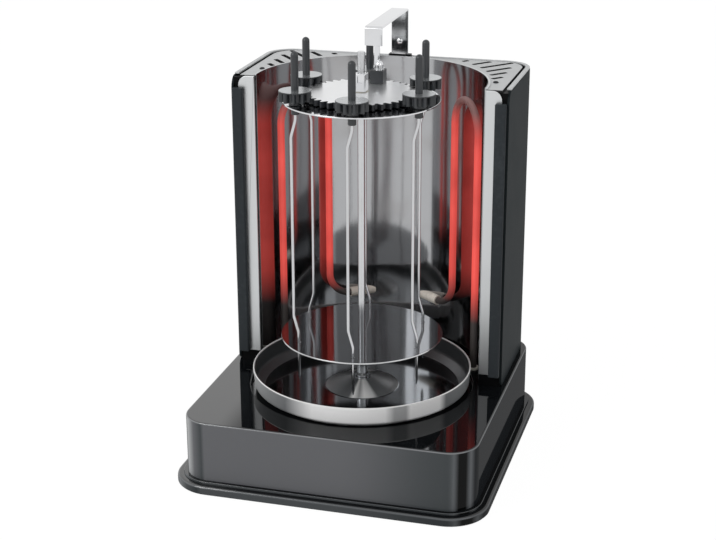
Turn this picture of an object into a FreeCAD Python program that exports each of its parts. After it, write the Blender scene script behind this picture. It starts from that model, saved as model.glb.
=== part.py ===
import FreeCAD, Part

import math
import os
import re

import Sketcher

# Electric skewer grill: a gloss base with a drip tray, a tall rear case that holds the reflector and
# two heating tubes, and a motor-driven carousel with six skewers that roll around a fixed sun gear.
# Millimetres, +Z up, front towards -Y. The origin is on the ground, under the middle of the base.

SIZES = {
    # base and plinth
    "base_side": 5.5, "front_margin": 26.5, "base_corner": 28, "base_top": 69, "base_wall": 2.5,
    "base_edge": 2, "plinth_lip": 10, "plinth_height": 9, "plinth_edge": 2, "plinth_floor": 3,
    "foot_height": 2, "foot_radius": 9, "foot_inset": 42, "well_play": 2.5, "well_depth": 5,
    "post_radius": 5, "post_inset": 22, "screw_radius": 1.5, "screw_head": 3, "screw_length": 14,
    # rear case
    "case_margin": 6.9, "case_height": 293, "case_wall": 2, "case_corner": 27, "ridge_width": 4.5,
    "ridge_start": 10, "cover_sheet": 2, "cover_groove": 5.5, "cover_drop": 1, "cover_corner": 24,
    "frame_sheet": 2, "fascia_width": 16, "fascia_sheet": 2, "fascia_corner": 9, "bar_width": 10.5,
    "bar_depth": 6, "bar_foot": 11, "bar_head": 12, "vent_width": 5, "vent_rim": 5, "vent_step": 1.9,
    "vent_first_angle": 19.5, "vent_pitch_angle": 7.7, "vent_slope_angle": 49, "vent_edge": 8.5,
    "vent_back": 6, "cover_screw_y": 32, "cover_screw_inset": 3.2, "cover_screw_length": 5,
    "shelf_end": 6,
    # reflector and heating tubes
    "tray_space": 4.5, "reflector_reach": 6, "reflector_sheet": 0.8, "reflector_foot": 3,
    "reflector_proud": 0.5, "reflector_flange": 13, "guide_space": 7.7, "tube_radius": 3.5,
    "tube_gap": 4, "tube_front_angle": 17.2, "tube_rear_angle": 51, "tube_crown": 27, "tube_rise": 44,
    "tube_bend": 24, "tube_end": 9.8, "tube_tail": 20, "bush_wall": 1.5, "bush_collar": 0.8,
    "bush_rise": 2, "bush_length": 27, "bush_back": 2, "blade_width": 6.3, "blade_sheet": 0.8,
    "blade_length": 8, "blade_end": 4,
    # drip tray
    "tray_radius": 106, "tray_height": 22.7, "tray_sheet": 1, "tray_bevel": 11, "tray_step": 1.5,
    "cone_radius": 36, "cone_top": 9, "cone_height": 9, "tray_round": 6,
    # carousel
    "axis_lead": 22, "carousel_turn": 38.5, "shaft_radius": 3.5, "sleeve_radius": 5.5,
    "carrier_rim": 8.5, "carrier_drop": 12, "lower_rim": 13, "lower_rise": 49.5,
    "disc_sheet": 1.5, "collar_radius": 8, "collar_height": 8, "knob_radius": 4.5,
    "knob_height": 27, "knob_block": 11, "knob_foot": 17, "knob_slot": 1, "shaft_reach": 20,
    # gears
    "gear_module": 2.6, "sun_teeth": 40, "pinion_teeth": 10, "pressure_angle": 25,
    "addendum": 0.8, "dedendum": 1.05, "backlash": 0.15, "sun_sheet": 5.5, "sun_lift": 1,
    "bearing_radius": 7, "bearing_rim": 10, "pinion_height": 10, "pinion_lift": 3.5,
    # skewers
    "boss_radius": 6, "grip_radius": 3.5, "grip_height": 35.5, "ferrule_radius": 3.8,
    "ferrule_length": 9, "rod_radius": 1.4, "rod_crank": 4.5, "rod_pin": 11, "rod_slope": 16,
    "rod_bend": 14, "rod_point": 5, "rod_reach": 20, "tip_drop": 36.5, "hole_play": 0.6,
    # bracket over the gears
    "bracket_width": 17, "bracket_sheet": 2, "bracket_inset": 10, "bracket_space": 7.2,
    "bracket_shoulder": 18, "tongue_width": 5.4, "tongue_shift": 3.4, "tongue_lift": 1.5,
    "bracket_tail": 34, "guide_height": 34, "guide_wall": 2.5, "guide_play": 0.3, "guide_proud": 2,
    "stud_radius": 3, "stud_proud": 1.5, "stud_rise": 13, "lock_width": 13, "lock_depth": 14.5,
    "lock_height": 12.5, "lock_lead": 9.5, "lock_play": 0.6, "lock_shift": 5.2,
    "cap_radius": 4.6, "cap_height": 9, "cap_shift": 1.7,
    # drive and electrics
    "motor_radius": 23, "motor_height": 18, "ear_reach": 33, "ear_hole": 28, "boss_height": 6,
    "motor_screw": 7, "ear_width": 14, "ear_sheet": 1.5, "spigot_radius": 4, "spigot_height": 12,
    "spigot_flat": 3, "nylon_radius": 7, "nylon_rim": 8.5, "switch_y": 60, "switch_z": 40,
    "switch_width": 19.5, "switch_height": 13, "switch_depth": 22, "switch_rim": 1.5,
    "rocker_half": 8.2, "rocker_tall": 5, "rocker_back": 2, "rocker_wing": 5.2, "rocker_waist": 4,
    "rocker_play": 1.2, "rocker_pin": 1, "rocker_stub": 0.6, "rocker_tilt": 8, "rocker_deep": 3,
    "gland_inset": 50, "gland_z": 30, "gland_radius": 7, "gland_rim": 9, "gland_length": 12,
    "block_length": 36, "block_width": 18, "block_height": 14, "block_inset": 35,
    "cutout_radius": 8, "cutout_height": 9, "cutout_x": 50, "cutout_inset": 21,
    # fits
    "fit": 0.05, "seat_gap": 0.3,
}

# Places and sizes that follow from those above, each written once.
PLACES = {
    "well_radius": "tray_radius + well_play",
    "reflector_radius": "tray_radius + tray_space",
    "reflector_outer": "reflector_radius + reflector_sheet",
    "fascia_in": "reflector_outer + seat_gap",
    "fascia_out": "fascia_in + fascia_width",
    "case_half": "fascia_out + case_margin",
    "case_inner": "case_half - case_wall",
    "case_depth": "reflector_reach + reflector_outer + guide_space + case_wall",
    "base_width": "2 * (case_half + base_side)",
    "base_depth": "front_margin + well_radius + axis_lead + case_depth + base_edge",
    "case_back": "base_depth / 2 - base_edge",
    "case_front": "case_back - case_depth",
    "case_inner_back": "case_back - case_wall",
    "case_top": "base_top + case_height",
    "axis_y": "case_front - axis_lead",
    "plinth_top": "foot_height + plinth_height",
    "floor_top": "foot_height + plinth_floor",
    "well_floor": "base_top - well_depth",
    "well_under": "well_floor - base_wall",
    "motor_seat": "well_under - boss_height",
    "motor_top": "motor_seat - seat_gap",
    "reflector_y": "case_front + reflector_reach",
    "reflector_low": "base_top + reflector_foot",
    "cover_half": "case_inner - cover_groove",
    "cover_rear": "case_inner_back - seat_gap",
    "cover_level": "case_top - cover_drop - cover_sheet",
    "cover_front": "case_front + frame_sheet + seat_gap",
    "cover_hole": "reflector_outer + seat_gap",
    "cover_in": "bracket_width / 2 + guide_wall + seat_gap",
    "cover_screw_x": "cover_hole + cover_screw_inset",
    "screw_line": "case_front + cover_screw_y",
    "fascia_face": "case_front - fascia_sheet",
    "bar_in": "case_inner - bar_width",
    "tube_circle": "reflector_radius - tube_gap - tube_radius",
    "tube_top": "case_top - tube_crown",
    "tube_low": "base_top + tube_rise",
    "tube_reach": "sqrt(reflector_outer ^ 2 - tube_circle ^ 2) + tube_end",
    "tray_low": "well_floor + seat_gap",
    "tray_rim": "tray_low + tray_height",
    "tray_floor": "tray_radius - tray_bevel",
    "sun_pitch": "gear_module * sun_teeth / 2",
    "skewer_circle": "sun_pitch + gear_module * pinion_teeth / 2",
    "carrier_radius": "skewer_circle + carrier_rim",
    "carrier_level": "case_top - carrier_drop",
    "carrier_top": "carrier_level + disc_sheet",
    "lower_radius": "skewer_circle + lower_rim",
    "lower_level": "base_top + lower_rise",
    "sun_low": "carrier_top + sun_lift",
    "sun_top": "sun_low + sun_sheet",
    "sleeve_low": "well_floor + bush_rise + seat_gap",
    "spigot_top": "well_floor + spigot_height",
    "shaft_low": "spigot_top + seat_gap",
    "knob_low": "sun_top + seat_gap",
    "shaft_top": "knob_low + knob_foot + shaft_reach",
    "boss_low": "carrier_top + seat_gap",
    "pinion_low": "boss_low + pinion_lift",
    "pinion_top": "pinion_low + pinion_height",
    "grip_top": "pinion_top + grip_height",
    "rod_top": "pinion_top + rod_reach",
    "tip_low": "lower_level - tip_drop",
    "guide_top": "case_top + guide_proud",
    "bracket_low": "guide_top - bracket_tail",
    "bracket_top": "grip_top + bracket_space + bracket_sheet",
    "bracket_mid": "bracket_top - bracket_shoulder",
    "bracket_front": "axis_y + sun_pitch - bracket_inset",
    "bracket_rear": "reflector_y + reflector_outer + 2 * seat_gap + reflector_sheet + guide_play",
    "lock_front": "bracket_front - lock_lead",
    "lock_top": "sun_top + lock_height",
    "rocker_x": "-base_width / 2 + rocker_deep",
    "gland_x": "base_width / 2 - gland_inset",
    "block_y": "base_depth / 2 - block_inset",
    "cutout_y": "base_depth / 2 - cutout_inset",
}

SKEWERS = 6
VENTS = 6
CRANK_TURNS = [180, 180, 0, 180, 180, 180]
CROWN_SHARE = 0.98
FULL_TURN = 360
Vector = FreeCAD.Vector

doc = FreeCAD.newDocument("SkewerGrill")
sheet = doc.addObject("Spreadsheet::Sheet", "Sizes")
for row, (alias, number) in enumerate(SIZES.items(), start=1):
    sheet.set(f"A{row}", alias)
    sheet.set(f"B{row}", str(number))
    sheet.setAlias(f"B{row}", alias)
doc.recompute()

nodes = {}


def on_sheet(text):
    """Turn a formula of size and place names into one that reads the sheet."""
    def swap(match):
        word = match.group(0)
        if word in PLACES:
            return "(" + on_sheet(PLACES[word]) + ")"
        return "Sizes." + word if word in SIZES else word
    return re.sub(r"[A-Za-z_]+", swap, str(text))


def value(text):
    """Evaluate a formula of size and place names, in millimetres or degrees."""
    answer = sheet.evalExpression(on_sheet(text))
    return float(getattr(answer, "Value", answer))


def bind(item, **formulas):
    """Tie properties of one object to formulas on the sheet."""
    for name, formula in formulas.items():
        item.setExpression(name, on_sheet(formula))
    return item


def move(item, x=0, y=0, z=0):
    """Tie the place of one object to formulas on the sheet."""
    for axis, formula in (("x", x), ("y", y), ("z", z)):
        item.setExpression(f"Placement.Base.{axis}", on_sheet(formula))
    return item


def node(label, item):
    """Name a finished sub-part and keep it for the checks and the export."""
    item.Label = label
    nodes[label] = item
    return item


def block(name, x, y, z):
    """Box between pairs of formulas along X, Y and Z."""
    item = doc.addObject("Part::Box", name)
    bind(item, Length=f"{x[1]} - ({x[0]})", Width=f"{y[1]} - ({y[0]})", Height=f"{z[1]} - ({z[0]})")
    return move(item, x[0], y[0], z[0])


def cylinder(name, radius, low, high, x=0, y=0):
    """Upright cylinder between two levels."""
    item = doc.addObject("Part::Cylinder", name)
    bind(item, Radius=radius, Height=f"{high} - ({low})")
    return move(item, x, y, low)


def lying(name, radius, length, x, y, z, axis):
    """Cylinder that lies along an axis from one end's place."""
    item = doc.addObject("Part::Cylinder", name)
    item.Placement = FreeCAD.Placement(Vector(), FreeCAD.Rotation(Vector(0, 0, 1), axis))
    bind(item, Radius=radius, Height=length)
    return move(item, x, y, z)


def fuse(name, *items):
    item = doc.addObject("Part::MultiFuse", name)
    item.Shapes = list(items)
    item.Refine = True
    return item


def cut(name, base, *tools):
    item = doc.addObject("Part::Cut", name)
    item.Base = base
    item.Tool = tools[0] if len(tools) == 1 else fuse(name + "_tools", *tools)
    item.Refine = True
    return item


def group(label, items):
    """Identical pieces that share one node as separate solids."""
    item = doc.addObject("Part::Compound", label + "_set")
    item.Links = list(items)
    return node(label, item)


def new_body(name):
    return doc.addObject("PartDesign::Body", name + "_body")


def new_sketch(body, plane, name, level=None):
    """Sketch on one of the body's own origin planes, lifted to a level where one is given."""
    sketch = body.newObject("Sketcher::SketchObject", name)
    support = next(f for f in body.Origin.OriginFeatures if f.Role == plane + "_Plane")
    sketch.AttachmentSupport = (support, [""])
    sketch.MapMode = "FlatFace"
    if level is not None:
        sketch.setExpression("AttachmentOffset.Base.z", on_sheet(level))
    return sketch


def dimension(sketch, kind, ends, formula):
    """Add one dimension and tie it to its formula."""
    index = sketch.addConstraint(Sketcher.Constraint(kind, *ends, value(formula)))
    sketch.setExpression(f"Constraints[{index}]", on_sheet(formula))


def arc_between(start, end, bend):
    """Arc from start to end: bend is its radius, positive where it turns left."""
    half = (end - start) / 2
    reach = math.sqrt(max(bend ** 2 - half.Length ** 2, 0))
    side = Vector(-half.y, half.x, 0).normalize() * math.copysign(reach, bend)
    centre = start + half + side
    rim = (start, end) if bend > 0 else (end, start)
    angles = [math.atan2(point.y - centre.y, point.x - centre.x) for point in rim]
    return Part.ArcOfCircle(Part.Circle(centre, Vector(0, 0, 1), abs(bend)), *angles)


def add_outline(sketch, points):
    """Closed outline of points (x, y), or (x, y, bend) where an arc of that radius arrives."""
    corners = [Vector(value(point[0]), value(point[1]), 0) for point in points]
    ends = []
    for index, point in enumerate(points):
        start, end = corners[index - 1], corners[index]
        if len(point) == 2:
            curve = sketch.addGeometry(Part.LineSegment(start, end), False)
            ends.append((curve, 1, 2))
            continue
        bend = value(point[2])
        curve = sketch.addGeometry(arc_between(start, end, bend), False)
        ends.append((curve, 1, 2) if bend > 0 else (curve, 2, 1))
    for index, (curve, first, last) in enumerate(ends):
        before, _, joint = ends[index - 1]
        sketch.addConstraint(Sketcher.Constraint("Coincident", before, joint, curve, first))
        dimension(sketch, "DistanceX", (-1, 1, curve, last), points[index][0])
        dimension(sketch, "DistanceY", (-1, 1, curve, last), points[index][1])
        if len(points[index]) == 3:
            dimension(sketch, "Radius", (curve,), f"abs({points[index][2]})")


def add_circle(sketch, radius, x=0, y=0):
    """Circle with its radius and centre tied to formulas."""
    centre = Vector(value(x), value(y), 0)
    curve = sketch.addGeometry(Part.Circle(centre, Vector(0, 0, 1), value(radius)), False)
    dimension(sketch, "Radius", (curve,), radius)
    dimension(sketch, "DistanceX", (-1, 1, curve, 3), x)
    dimension(sketch, "DistanceY", (-1, 1, curve, 3), y)


def rounded(half, front, rear, corner):
    """Outline points of a rectangle with rounded corners, as wide to the left as to the right."""
    return [
        (f"-({half}) + {corner}", front, corner),
        (f"{half} - ({corner})", front),
        (half, f"{front} + {corner}", corner),
        (half, f"{rear} - ({corner})"),
        (f"{half} - ({corner})", rear, corner),
        (f"-({half}) + {corner}", rear),
        (f"-({half})", f"{rear} - ({corner})", corner),
        (f"-({half})", f"{front} + {corner}"),
    ]


def pad(body, sketch, length, name):
    feature = body.newObject("PartDesign::Pad", name)
    feature.Profile = sketch
    return bind(feature, Length=length)


def pocket(body, sketch, length, name, upward=False):
    feature = body.newObject("PartDesign::Pocket", name)
    feature.Profile = sketch
    feature.Reversed = upward
    return bind(feature, Length=length)


def round_edges(body, base, radius, name, wanted):
    """Fillet the edges of a feature that a test picks."""
    doc.recompute()
    picked = [f"Edge{i}" for i, edge in enumerate(base.Shape.Edges, start=1) if wanted(edge)]
    feature = body.newObject("PartDesign::Fillet", name)
    feature.Base = (base, picked)
    return bind(feature, Radius=radius)


def level_edge(level):
    """Test for edges that lie flat at one level."""
    height = value(level)
    return lambda edge: all(abs(vertex.Z - height) < 0.001 for vertex in edge.Vertexes)


def plate(name, level, thickness, outline=None, circles=()):
    """Flat piece padded up from a level: an outline or circles, the first circle being the rim."""
    body = new_body(name)
    sketch = new_sketch(body, "XY", name + "_outline", level)
    if outline:
        add_outline(sketch, outline)
    for circle in circles:
        add_circle(sketch, *circle)
    pad(body, sketch, thickness, name + "_pad")
    return body


def turned(name, points, x=0, y=0):
    """Piece turned about its own upright axis from a section of (radius, level) points."""
    body = new_body(name)
    sketch = new_sketch(body, "XZ", name + "_section")
    add_outline(sketch, points)
    feature = body.newObject("PartDesign::Revolution", name + "_turn")
    feature.Profile = sketch
    feature.ReferenceAxis = (sketch, ["V_Axis"])
    feature.Angle = FULL_TURN
    return move(body, x, y)


def ring(name, inner, outer, low, high, x=0, y=0):
    """Upright tube between two levels."""
    return turned(name, [(inner, low), (outer, low), (outer, high), (inner, high)], x, y)


def mirrored(label, source):
    """Left-hand twin of a right-hand piece."""
    item = doc.addObject("Part::Mirroring", label + "_twin")
    item.Source = source
    item.Normal = Vector(1, 0, 0)
    return node(label, item)


def shaped(name, shape):
    """Piece whose shape is worked out below."""
    item = doc.addObject("Part::Feature", name)
    item.Shape = shape
    return item


def bent_rod(points, radii, radius):
    """Round bar along straight runs joined by tangent arcs, one arc radius per inner point."""
    edges = []
    start = points[0]
    for before, corner, after, bend in zip(points, points[1:], points[2:], radii):
        back = (before - corner).normalize()
        ahead = (after - corner).normalize()
        half = back.getAngle(ahead) / 2
        leg = bend / math.tan(half)
        entry, leave = corner + back * leg, corner + ahead * leg
        centre = corner + (back + ahead).normalize() * (bend / math.sin(half))
        middle = centre + (corner - centre).normalize() * bend
        edges.append(Part.LineSegment(start, entry).toShape())
        edges.append(Part.Arc(entry, middle, leave).toShape())
        start = leave
    edges.append(Part.LineSegment(start, points[-1]).toShape())
    path = Part.Wire(edges)
    section = Part.Wire(Part.makeCircle(radius, points[0], points[1] - points[0]))
    return path.makePipeShell([section], True, False)


def gear_blank(teeth, height):
    """Solid spur gear on the Z axis with its first tooth on +X and involute flanks."""
    module = value("gear_module")
    pitch = module * teeth / 2
    slope = math.radians(value("pressure_angle"))
    base = pitch * math.cos(slope)
    tip = pitch + value("addendum") * module
    root = pitch - value("dedendum") * module

    def involute(angle):
        return math.tan(angle) - angle

    at_pitch = math.pi / (2 * teeth) - value("backlash") / (2 * pitch) + involute(slope)

    def flank(radius, side, centre):
        reach = math.acos(min(base / max(radius, base), 1))
        angle = centre + side * (at_pitch - involute(reach))
        return Vector(radius * math.cos(angle), radius * math.sin(angle), 0)

    foot = max(root, base)
    edges = []
    last = None
    for index in range(teeth):
        centre = index * 2 * math.pi / teeth
        rise = [flank(radius, -1, centre) for radius in (foot, (foot + tip) / 2, tip)]
        fall = [flank(radius, 1, centre) for radius in (tip, (foot + tip) / 2, foot)]
        low_in, low_out = flank(root, -1, centre), flank(root, 1, centre)
        crest = Vector(tip * math.cos(centre), tip * math.sin(centre), 0)
        if last:
            edges.append(valley(last, low_in))
        else:
            opening = low_in
        if (low_in - rise[0]).Length > 0.001:
            edges.append(Part.LineSegment(low_in, rise[0]).toShape())
        edges.append(Part.Arc(*rise).toShape())
        edges.append(Part.Arc(rise[2], crest, fall[0]).toShape())
        edges.append(Part.Arc(*fall).toShape())
        if (low_out - fall[2]).Length > 0.001:
            edges.append(Part.LineSegment(fall[2], low_out).toShape())
        last = low_out
    edges.append(valley(last, opening))
    return Part.Face(Part.Wire(edges)).extrude(Vector(0, 0, height))


def valley(start, end):
    """Arc about the Z axis between two points of one radius."""
    middle = (start + end).normalize() * start.Length
    return Part.Arc(start, middle, end).toShape()


def screw(name, x, y, under_head, length, upward):
    """Pan-head screw with its shank up or down from the underside of its head."""
    if upward:
        shank = cylinder(name + "_shank", "screw_radius", under_head, f"{under_head} + {length}", x, y)
        head = cylinder(name + "_head", "screw_head", f"{under_head} - screw_radius", under_head, x, y)
    else:
        shank = cylinder(name + "_shank", "screw_radius", f"{under_head} - ({length})", under_head, x, y)
        head = cylinder(name + "_head", "screw_head", under_head, f"{under_head} + screw_radius", x, y)
    return fuse(name, head, shank)


CORNERS = [("right_front", 1, -1), ("right_rear", 1, 1), ("left_rear", -1, 1), ("left_front", -1, -1)]
SIDES = [("right", 1), ("left", -1)]
TUBE_X = "tube_circle * cos(tube_front_angle)"
TUBE_Y = "reflector_y + tube_circle * sin(tube_front_angle)"


def post_place(across, along):
    """Centre of one screw post of the base."""
    return (f"{across} * (base_width / 2 - post_inset)", f"{along} * (base_depth / 2 - post_inset)")


def make_base_shell():
    """Gloss base: a box open below, with the tray's well in its top and posts for the screws."""
    name = "base_shell"
    body = new_body(name)
    outer = new_sketch(body, "XY", name + "_outline", "plinth_top")
    add_outline(outer, rounded("base_width / 2", "-base_depth / 2", "base_depth / 2", "base_corner"))
    block_pad = pad(body, outer, "base_top - plinth_top", name + "_pad")
    round_edges(body, block_pad, "base_edge", name + "_edge", level_edge("base_top"))
    inner = new_sketch(body, "XY", name + "_cavity", "plinth_top")
    add_outline(inner, rounded("base_width / 2 - base_wall", "-base_depth / 2 + base_wall",
                               "base_depth / 2 - base_wall", "base_corner - base_wall"))
    pocket(body, inner, "base_top - base_wall - plinth_top", name + "_hollow", upward=True)
    cup = new_sketch(body, "XY", name + "_cup", "well_under")
    add_circle(cup, "well_radius + base_wall", 0, "axis_y")
    pad(body, cup, "base_top - base_wall - well_under", name + "_cup_pad")
    well = new_sketch(body, "XY", name + "_well", "base_top")
    add_circle(well, "well_radius", 0, "axis_y")
    pocket(body, well, "well_depth", name + "_well_cut")
    bosses = [cylinder(f"motor_boss_{side}", "post_radius", "motor_seat", "well_under + base_wall / 2",
                       f"{sign} * ear_hole", "axis_y") for side, sign in SIDES]
    posts = [cylinder(f"post_{corner}", "post_radius", "floor_top", "base_top - base_wall / 2",
                      *post_place(across, along)) for corner, across, along in CORNERS]
    pilots = [cylinder(f"pilot_{corner}", "screw_radius + fit", "floor_top",
                       "floor_top + screw_length", *post_place(across, along))
              for corner, across, along in CORNERS]
    motor_pilots = [cylinder(f"motor_pilot_{side}", "screw_radius + fit", "motor_seat",
                             "motor_seat + motor_screw", f"{sign} * ear_hole", "axis_y")
                    for side, sign in SIDES]
    bush_holes = [cylinder(f"tube_hole_{side}", "tube_radius + bush_wall + fit", "well_under",
                           "base_top + 1", f"{sign} * ({TUBE_X})", TUBE_Y) for side, sign in SIDES]
    drive_hole = cylinder("drive_hole", "nylon_radius + fit", "well_under", "well_floor + 1", 0, "axis_y")
    switch_hole = block("switch_hole", ("-base_width / 2 - 1", "-base_width / 2 + base_wall + 1"),
                        ("-switch_y - switch_width / 2 - fit", "-switch_y + switch_width / 2 + fit"),
                        ("switch_z - switch_height / 2 - fit", "switch_z + switch_height / 2 + fit"))
    gland_hole = lying("gland_hole", "gland_radius + fit", "base_wall + 2", "gland_x",
                       "base_depth / 2 - base_wall - 1", "gland_z", Vector(0, 1, 0))
    solid = fuse("base_shell_solid", body, *posts, *bosses)
    node(name, cut("base_shell_cut", solid, *pilots, *motor_pilots, *bush_holes, drive_hole,
                   switch_hole, gland_hole))


def make_plinth():
    """Stepped plinth that closes the base below, with its feet and screws."""
    name = "plinth"
    body = new_body(name)
    outer = new_sketch(body, "XY", name + "_outline", "foot_height")
    add_outline(outer, rounded("base_width / 2 + plinth_lip", "-base_depth / 2 - plinth_lip",
                               "base_depth / 2 + plinth_lip", "base_corner + plinth_lip"))
    slab = pad(body, outer, "plinth_height", name + "_pad")
    round_edges(body, slab, "plinth_edge", name + "_edge", level_edge("plinth_top"))
    inner = new_sketch(body, "XY", name + "_tray", "floor_top")
    add_outline(inner, rounded("base_width / 2 - 2 * base_wall", "-base_depth / 2 + 2 * base_wall",
                               "base_depth / 2 - 2 * base_wall", "base_corner - 2 * base_wall"))
    pocket(body, inner, "plinth_height - plinth_floor", name + "_hollow", upward=True)
    holes = []
    feet = []
    screws = []
    for corner, across, along in CORNERS:
        x, y = post_place(across, along)
        head_top = "foot_height + screw_radius + seat_gap"
        holes.append(cylinder(f"plinth_hole_{corner}", "screw_radius + fit", "foot_height", "floor_top", x, y))
        holes.append(cylinder(f"plinth_sink_{corner}", "screw_head + seat_gap", "foot_height", head_top, x, y))
        screws.append(screw(f"base_screw_{corner}", x, y, head_top, "screw_length", upward=True))
        feet.append(cylinder(f"foot_{corner}", "foot_radius", 0, "foot_height",
                             f"{across} * (base_width / 2 - foot_inset)",
                             f"{along} * (base_depth / 2 - foot_inset)"))
    node(name, cut("plinth_cut", body, *holes))
    group("rubber_feet", feet)
    group("base_screws", screws)


def make_drive():
    """Gear motor under the well, its spigot, the bush it turns in and its two screws."""
    ears = block("motor_ears", ("-ear_reach", "ear_reach"),
                 ("axis_y - ear_width / 2", "axis_y + ear_width / 2"),
                 ("motor_seat - seat_gap - ear_sheet", "motor_seat - seat_gap"))
    can = cylinder("motor_can", "motor_radius", "motor_top - motor_height", "motor_top", 0, "axis_y")
    holes = [cylinder(f"ear_hole_{side}", "screw_radius + fit", "motor_seat - seat_gap - ear_sheet",
                      "motor_seat", f"{sign} * ear_hole", "axis_y") for side, sign in SIDES]
    node("gear_motor", cut("gear_motor_cut", fuse("gear_motor_solid", can, ears), *holes))
    group("motor_screws", [screw(f"motor_screw_{side}", f"{sign} * ear_hole", "axis_y",
                                 "motor_seat - seat_gap - ear_sheet", "motor_screw", upward=True)
                           for side, sign in SIDES])
    neck = cylinder("spigot_neck", "spigot_radius", "motor_top + seat_gap", "sleeve_low", 0, "axis_y")
    stem = cylinder("spigot_stem", "spigot_radius", "sleeve_low", "spigot_top", 0, "axis_y")
    node("drive_spigot", fuse("spigot_solid", neck, flatted("spigot_key", stem, "spigot_radius", "spigot_flat",
                                                            "sleeve_low", "spigot_top")))
    node("drive_bush", turned("drive_bush", [
        ("spigot_radius + fit", "well_under - bush_rise"), ("nylon_radius", "well_under - bush_rise"),
        ("nylon_radius", "well_floor"), ("nylon_rim", "well_floor"),
        ("nylon_rim", "well_floor + bush_rise"), ("spigot_radius + fit", "well_floor + bush_rise")],
        0, "axis_y"))


def flatted(name, round_piece, radius, flat, low, high):
    """Keep what lies between two flats of an upright bar on the carousel's axis."""
    item = doc.addObject("Part::Common", name)
    item.Base = round_piece
    item.Tool = block(name + "_flats", (f"-({radius})", radius),
                      (f"axis_y - ({flat})", f"axis_y + {flat}"), (low, high))
    return item


def make_electrics():
    """Mains parts in the base: terminal block, overheat cut-out, cord gland and rocker switch."""
    terminals = block("terminal_solid", ("gland_x - block_length / 2", "gland_x + block_length / 2"),
                      ("block_y - block_width / 2", "block_y + block_width / 2"),
                      ("floor_top", "floor_top + block_height"))
    node("terminal_block", terminals)
    node("thermal_cutout", cylinder("cutout_can", "cutout_radius", "base_top - base_wall - cutout_height",
                                    "base_top - base_wall", "-cutout_x", "cutout_y"))
    outside = "base_depth / 2"
    rim = lying("gland_flange", "gland_rim", "gland_length / 3", "gland_x", outside, "gland_z", Vector(0, 1, 0))
    barrel = lying("gland_barrel", "gland_radius", "gland_length", "gland_x",
                   f"{outside} - gland_length * 2 / 3", "gland_z", Vector(0, 1, 0))
    bore = lying("gland_bore", "gland_radius / 2", "gland_length + 2", "gland_x",
                 f"{outside} - gland_length * 2 / 3 - 1", "gland_z", Vector(0, 1, 0))
    node("cable_gland", cut("gland_cut", fuse("gland_solid", rim, barrel), bore))
    make_switch()


def make_switch():
    """Rocker switch in the left wall: a frame with a well, and a key that tips on two stub pins."""
    outside = "-base_width / 2"
    centre_y, centre_z = "-switch_y", "switch_z"
    body = block("switch_body", (outside, f"{outside} + switch_depth"),
                 (f"{centre_y} - switch_width / 2", f"{centre_y} + switch_width / 2"),
                 (f"{centre_z} - switch_height / 2", f"{centre_z} + switch_height / 2"))
    rim = block("switch_bezel", (f"{outside} - switch_rim", outside),
                (f"{centre_y} - switch_width / 2 - switch_rim", f"{centre_y} + switch_width / 2 + switch_rim"),
                (f"{centre_z} - switch_height / 2 - switch_rim",
                 f"{centre_z} + switch_height / 2 + switch_rim"))
    well = block("switch_well", (f"{outside} - switch_rim - 1", "rocker_x + rocker_back + rocker_play"),
                 (f"{centre_y} - rocker_half - rocker_play", f"{centre_y} + rocker_half + rocker_play"),
                 (f"{centre_z} - rocker_tall - seat_gap", f"{centre_z} + rocker_tall + seat_gap"))
    pins = cylinder("switch_pin_hole", "rocker_pin + fit",
                    f"{centre_z} - rocker_tall - rocker_stub - seat_gap",
                    f"{centre_z} + rocker_tall + rocker_stub + seat_gap", "rocker_x", centre_y)
    node("switch_frame", cut("switch_frame_cut", fuse("switch_frame_solid", body, rim), well, pins))
    key = new_body("rocker_key")
    sketch = new_sketch(key, "XY", "rocker_outline", "-rocker_tall")
    add_outline(sketch, [("rocker_back", "-rocker_half"), ("rocker_back", "rocker_half"),
                         ("-rocker_wing", "rocker_half"), ("-rocker_waist", "0"),
                         ("-rocker_wing", "-rocker_half")])
    pad(key, sketch, "2 * rocker_tall", "rocker_pad")
    stub = new_sketch(key, "XY", "rocker_stubs", "-rocker_tall - rocker_stub")
    add_circle(stub, "rocker_pin", 0, 0)
    pad(key, stub, "2 * (rocker_tall + rocker_stub)", "rocker_pins")
    key.Placement = FreeCAD.Placement(Vector(), FreeCAD.Rotation(Vector(0, 0, 1), value("rocker_tilt")))
    node("rocker_key", move(key, "rocker_x", centre_y, centre_z))


def make_case():
    """Rear case: right side, back and left side with rounded rear corners, and a ridge on each side."""
    inside = "case_corner - case_wall"
    outline = [
        ("case_half", "fascia_face"), ("case_half", "case_back - case_corner"),
        ("case_half - case_corner", "case_back", "case_corner"),
        ("-case_half + case_corner", "case_back"),
        ("-case_half", "case_back - case_corner", "case_corner"), ("-case_half", "fascia_face"),
        ("-case_inner", "fascia_face"), ("-case_inner", "case_back - case_corner"),
        ("-case_half + case_corner", "case_inner_back", f"-({inside})"),
        ("case_half - case_corner", "case_inner_back"),
        ("case_inner", "case_back - case_corner", f"-({inside})"), ("case_inner", "fascia_face"),
    ]
    sheet = plate("case_sheet", "base_top", "case_height", outline)
    along = ("fascia_face + ridge_start", "case_back - case_corner")
    ridges = [block(f"case_ridge_{side}", across, along, ("case_top - case_wall", "case_top"))
              for side, across in (("right", ("case_half - ridge_width", "case_half")),
                                   ("left", ("-case_half", "ridge_width - case_half")))]
    node("rear_case", fuse("rear_case", sheet, *ridges))


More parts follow.
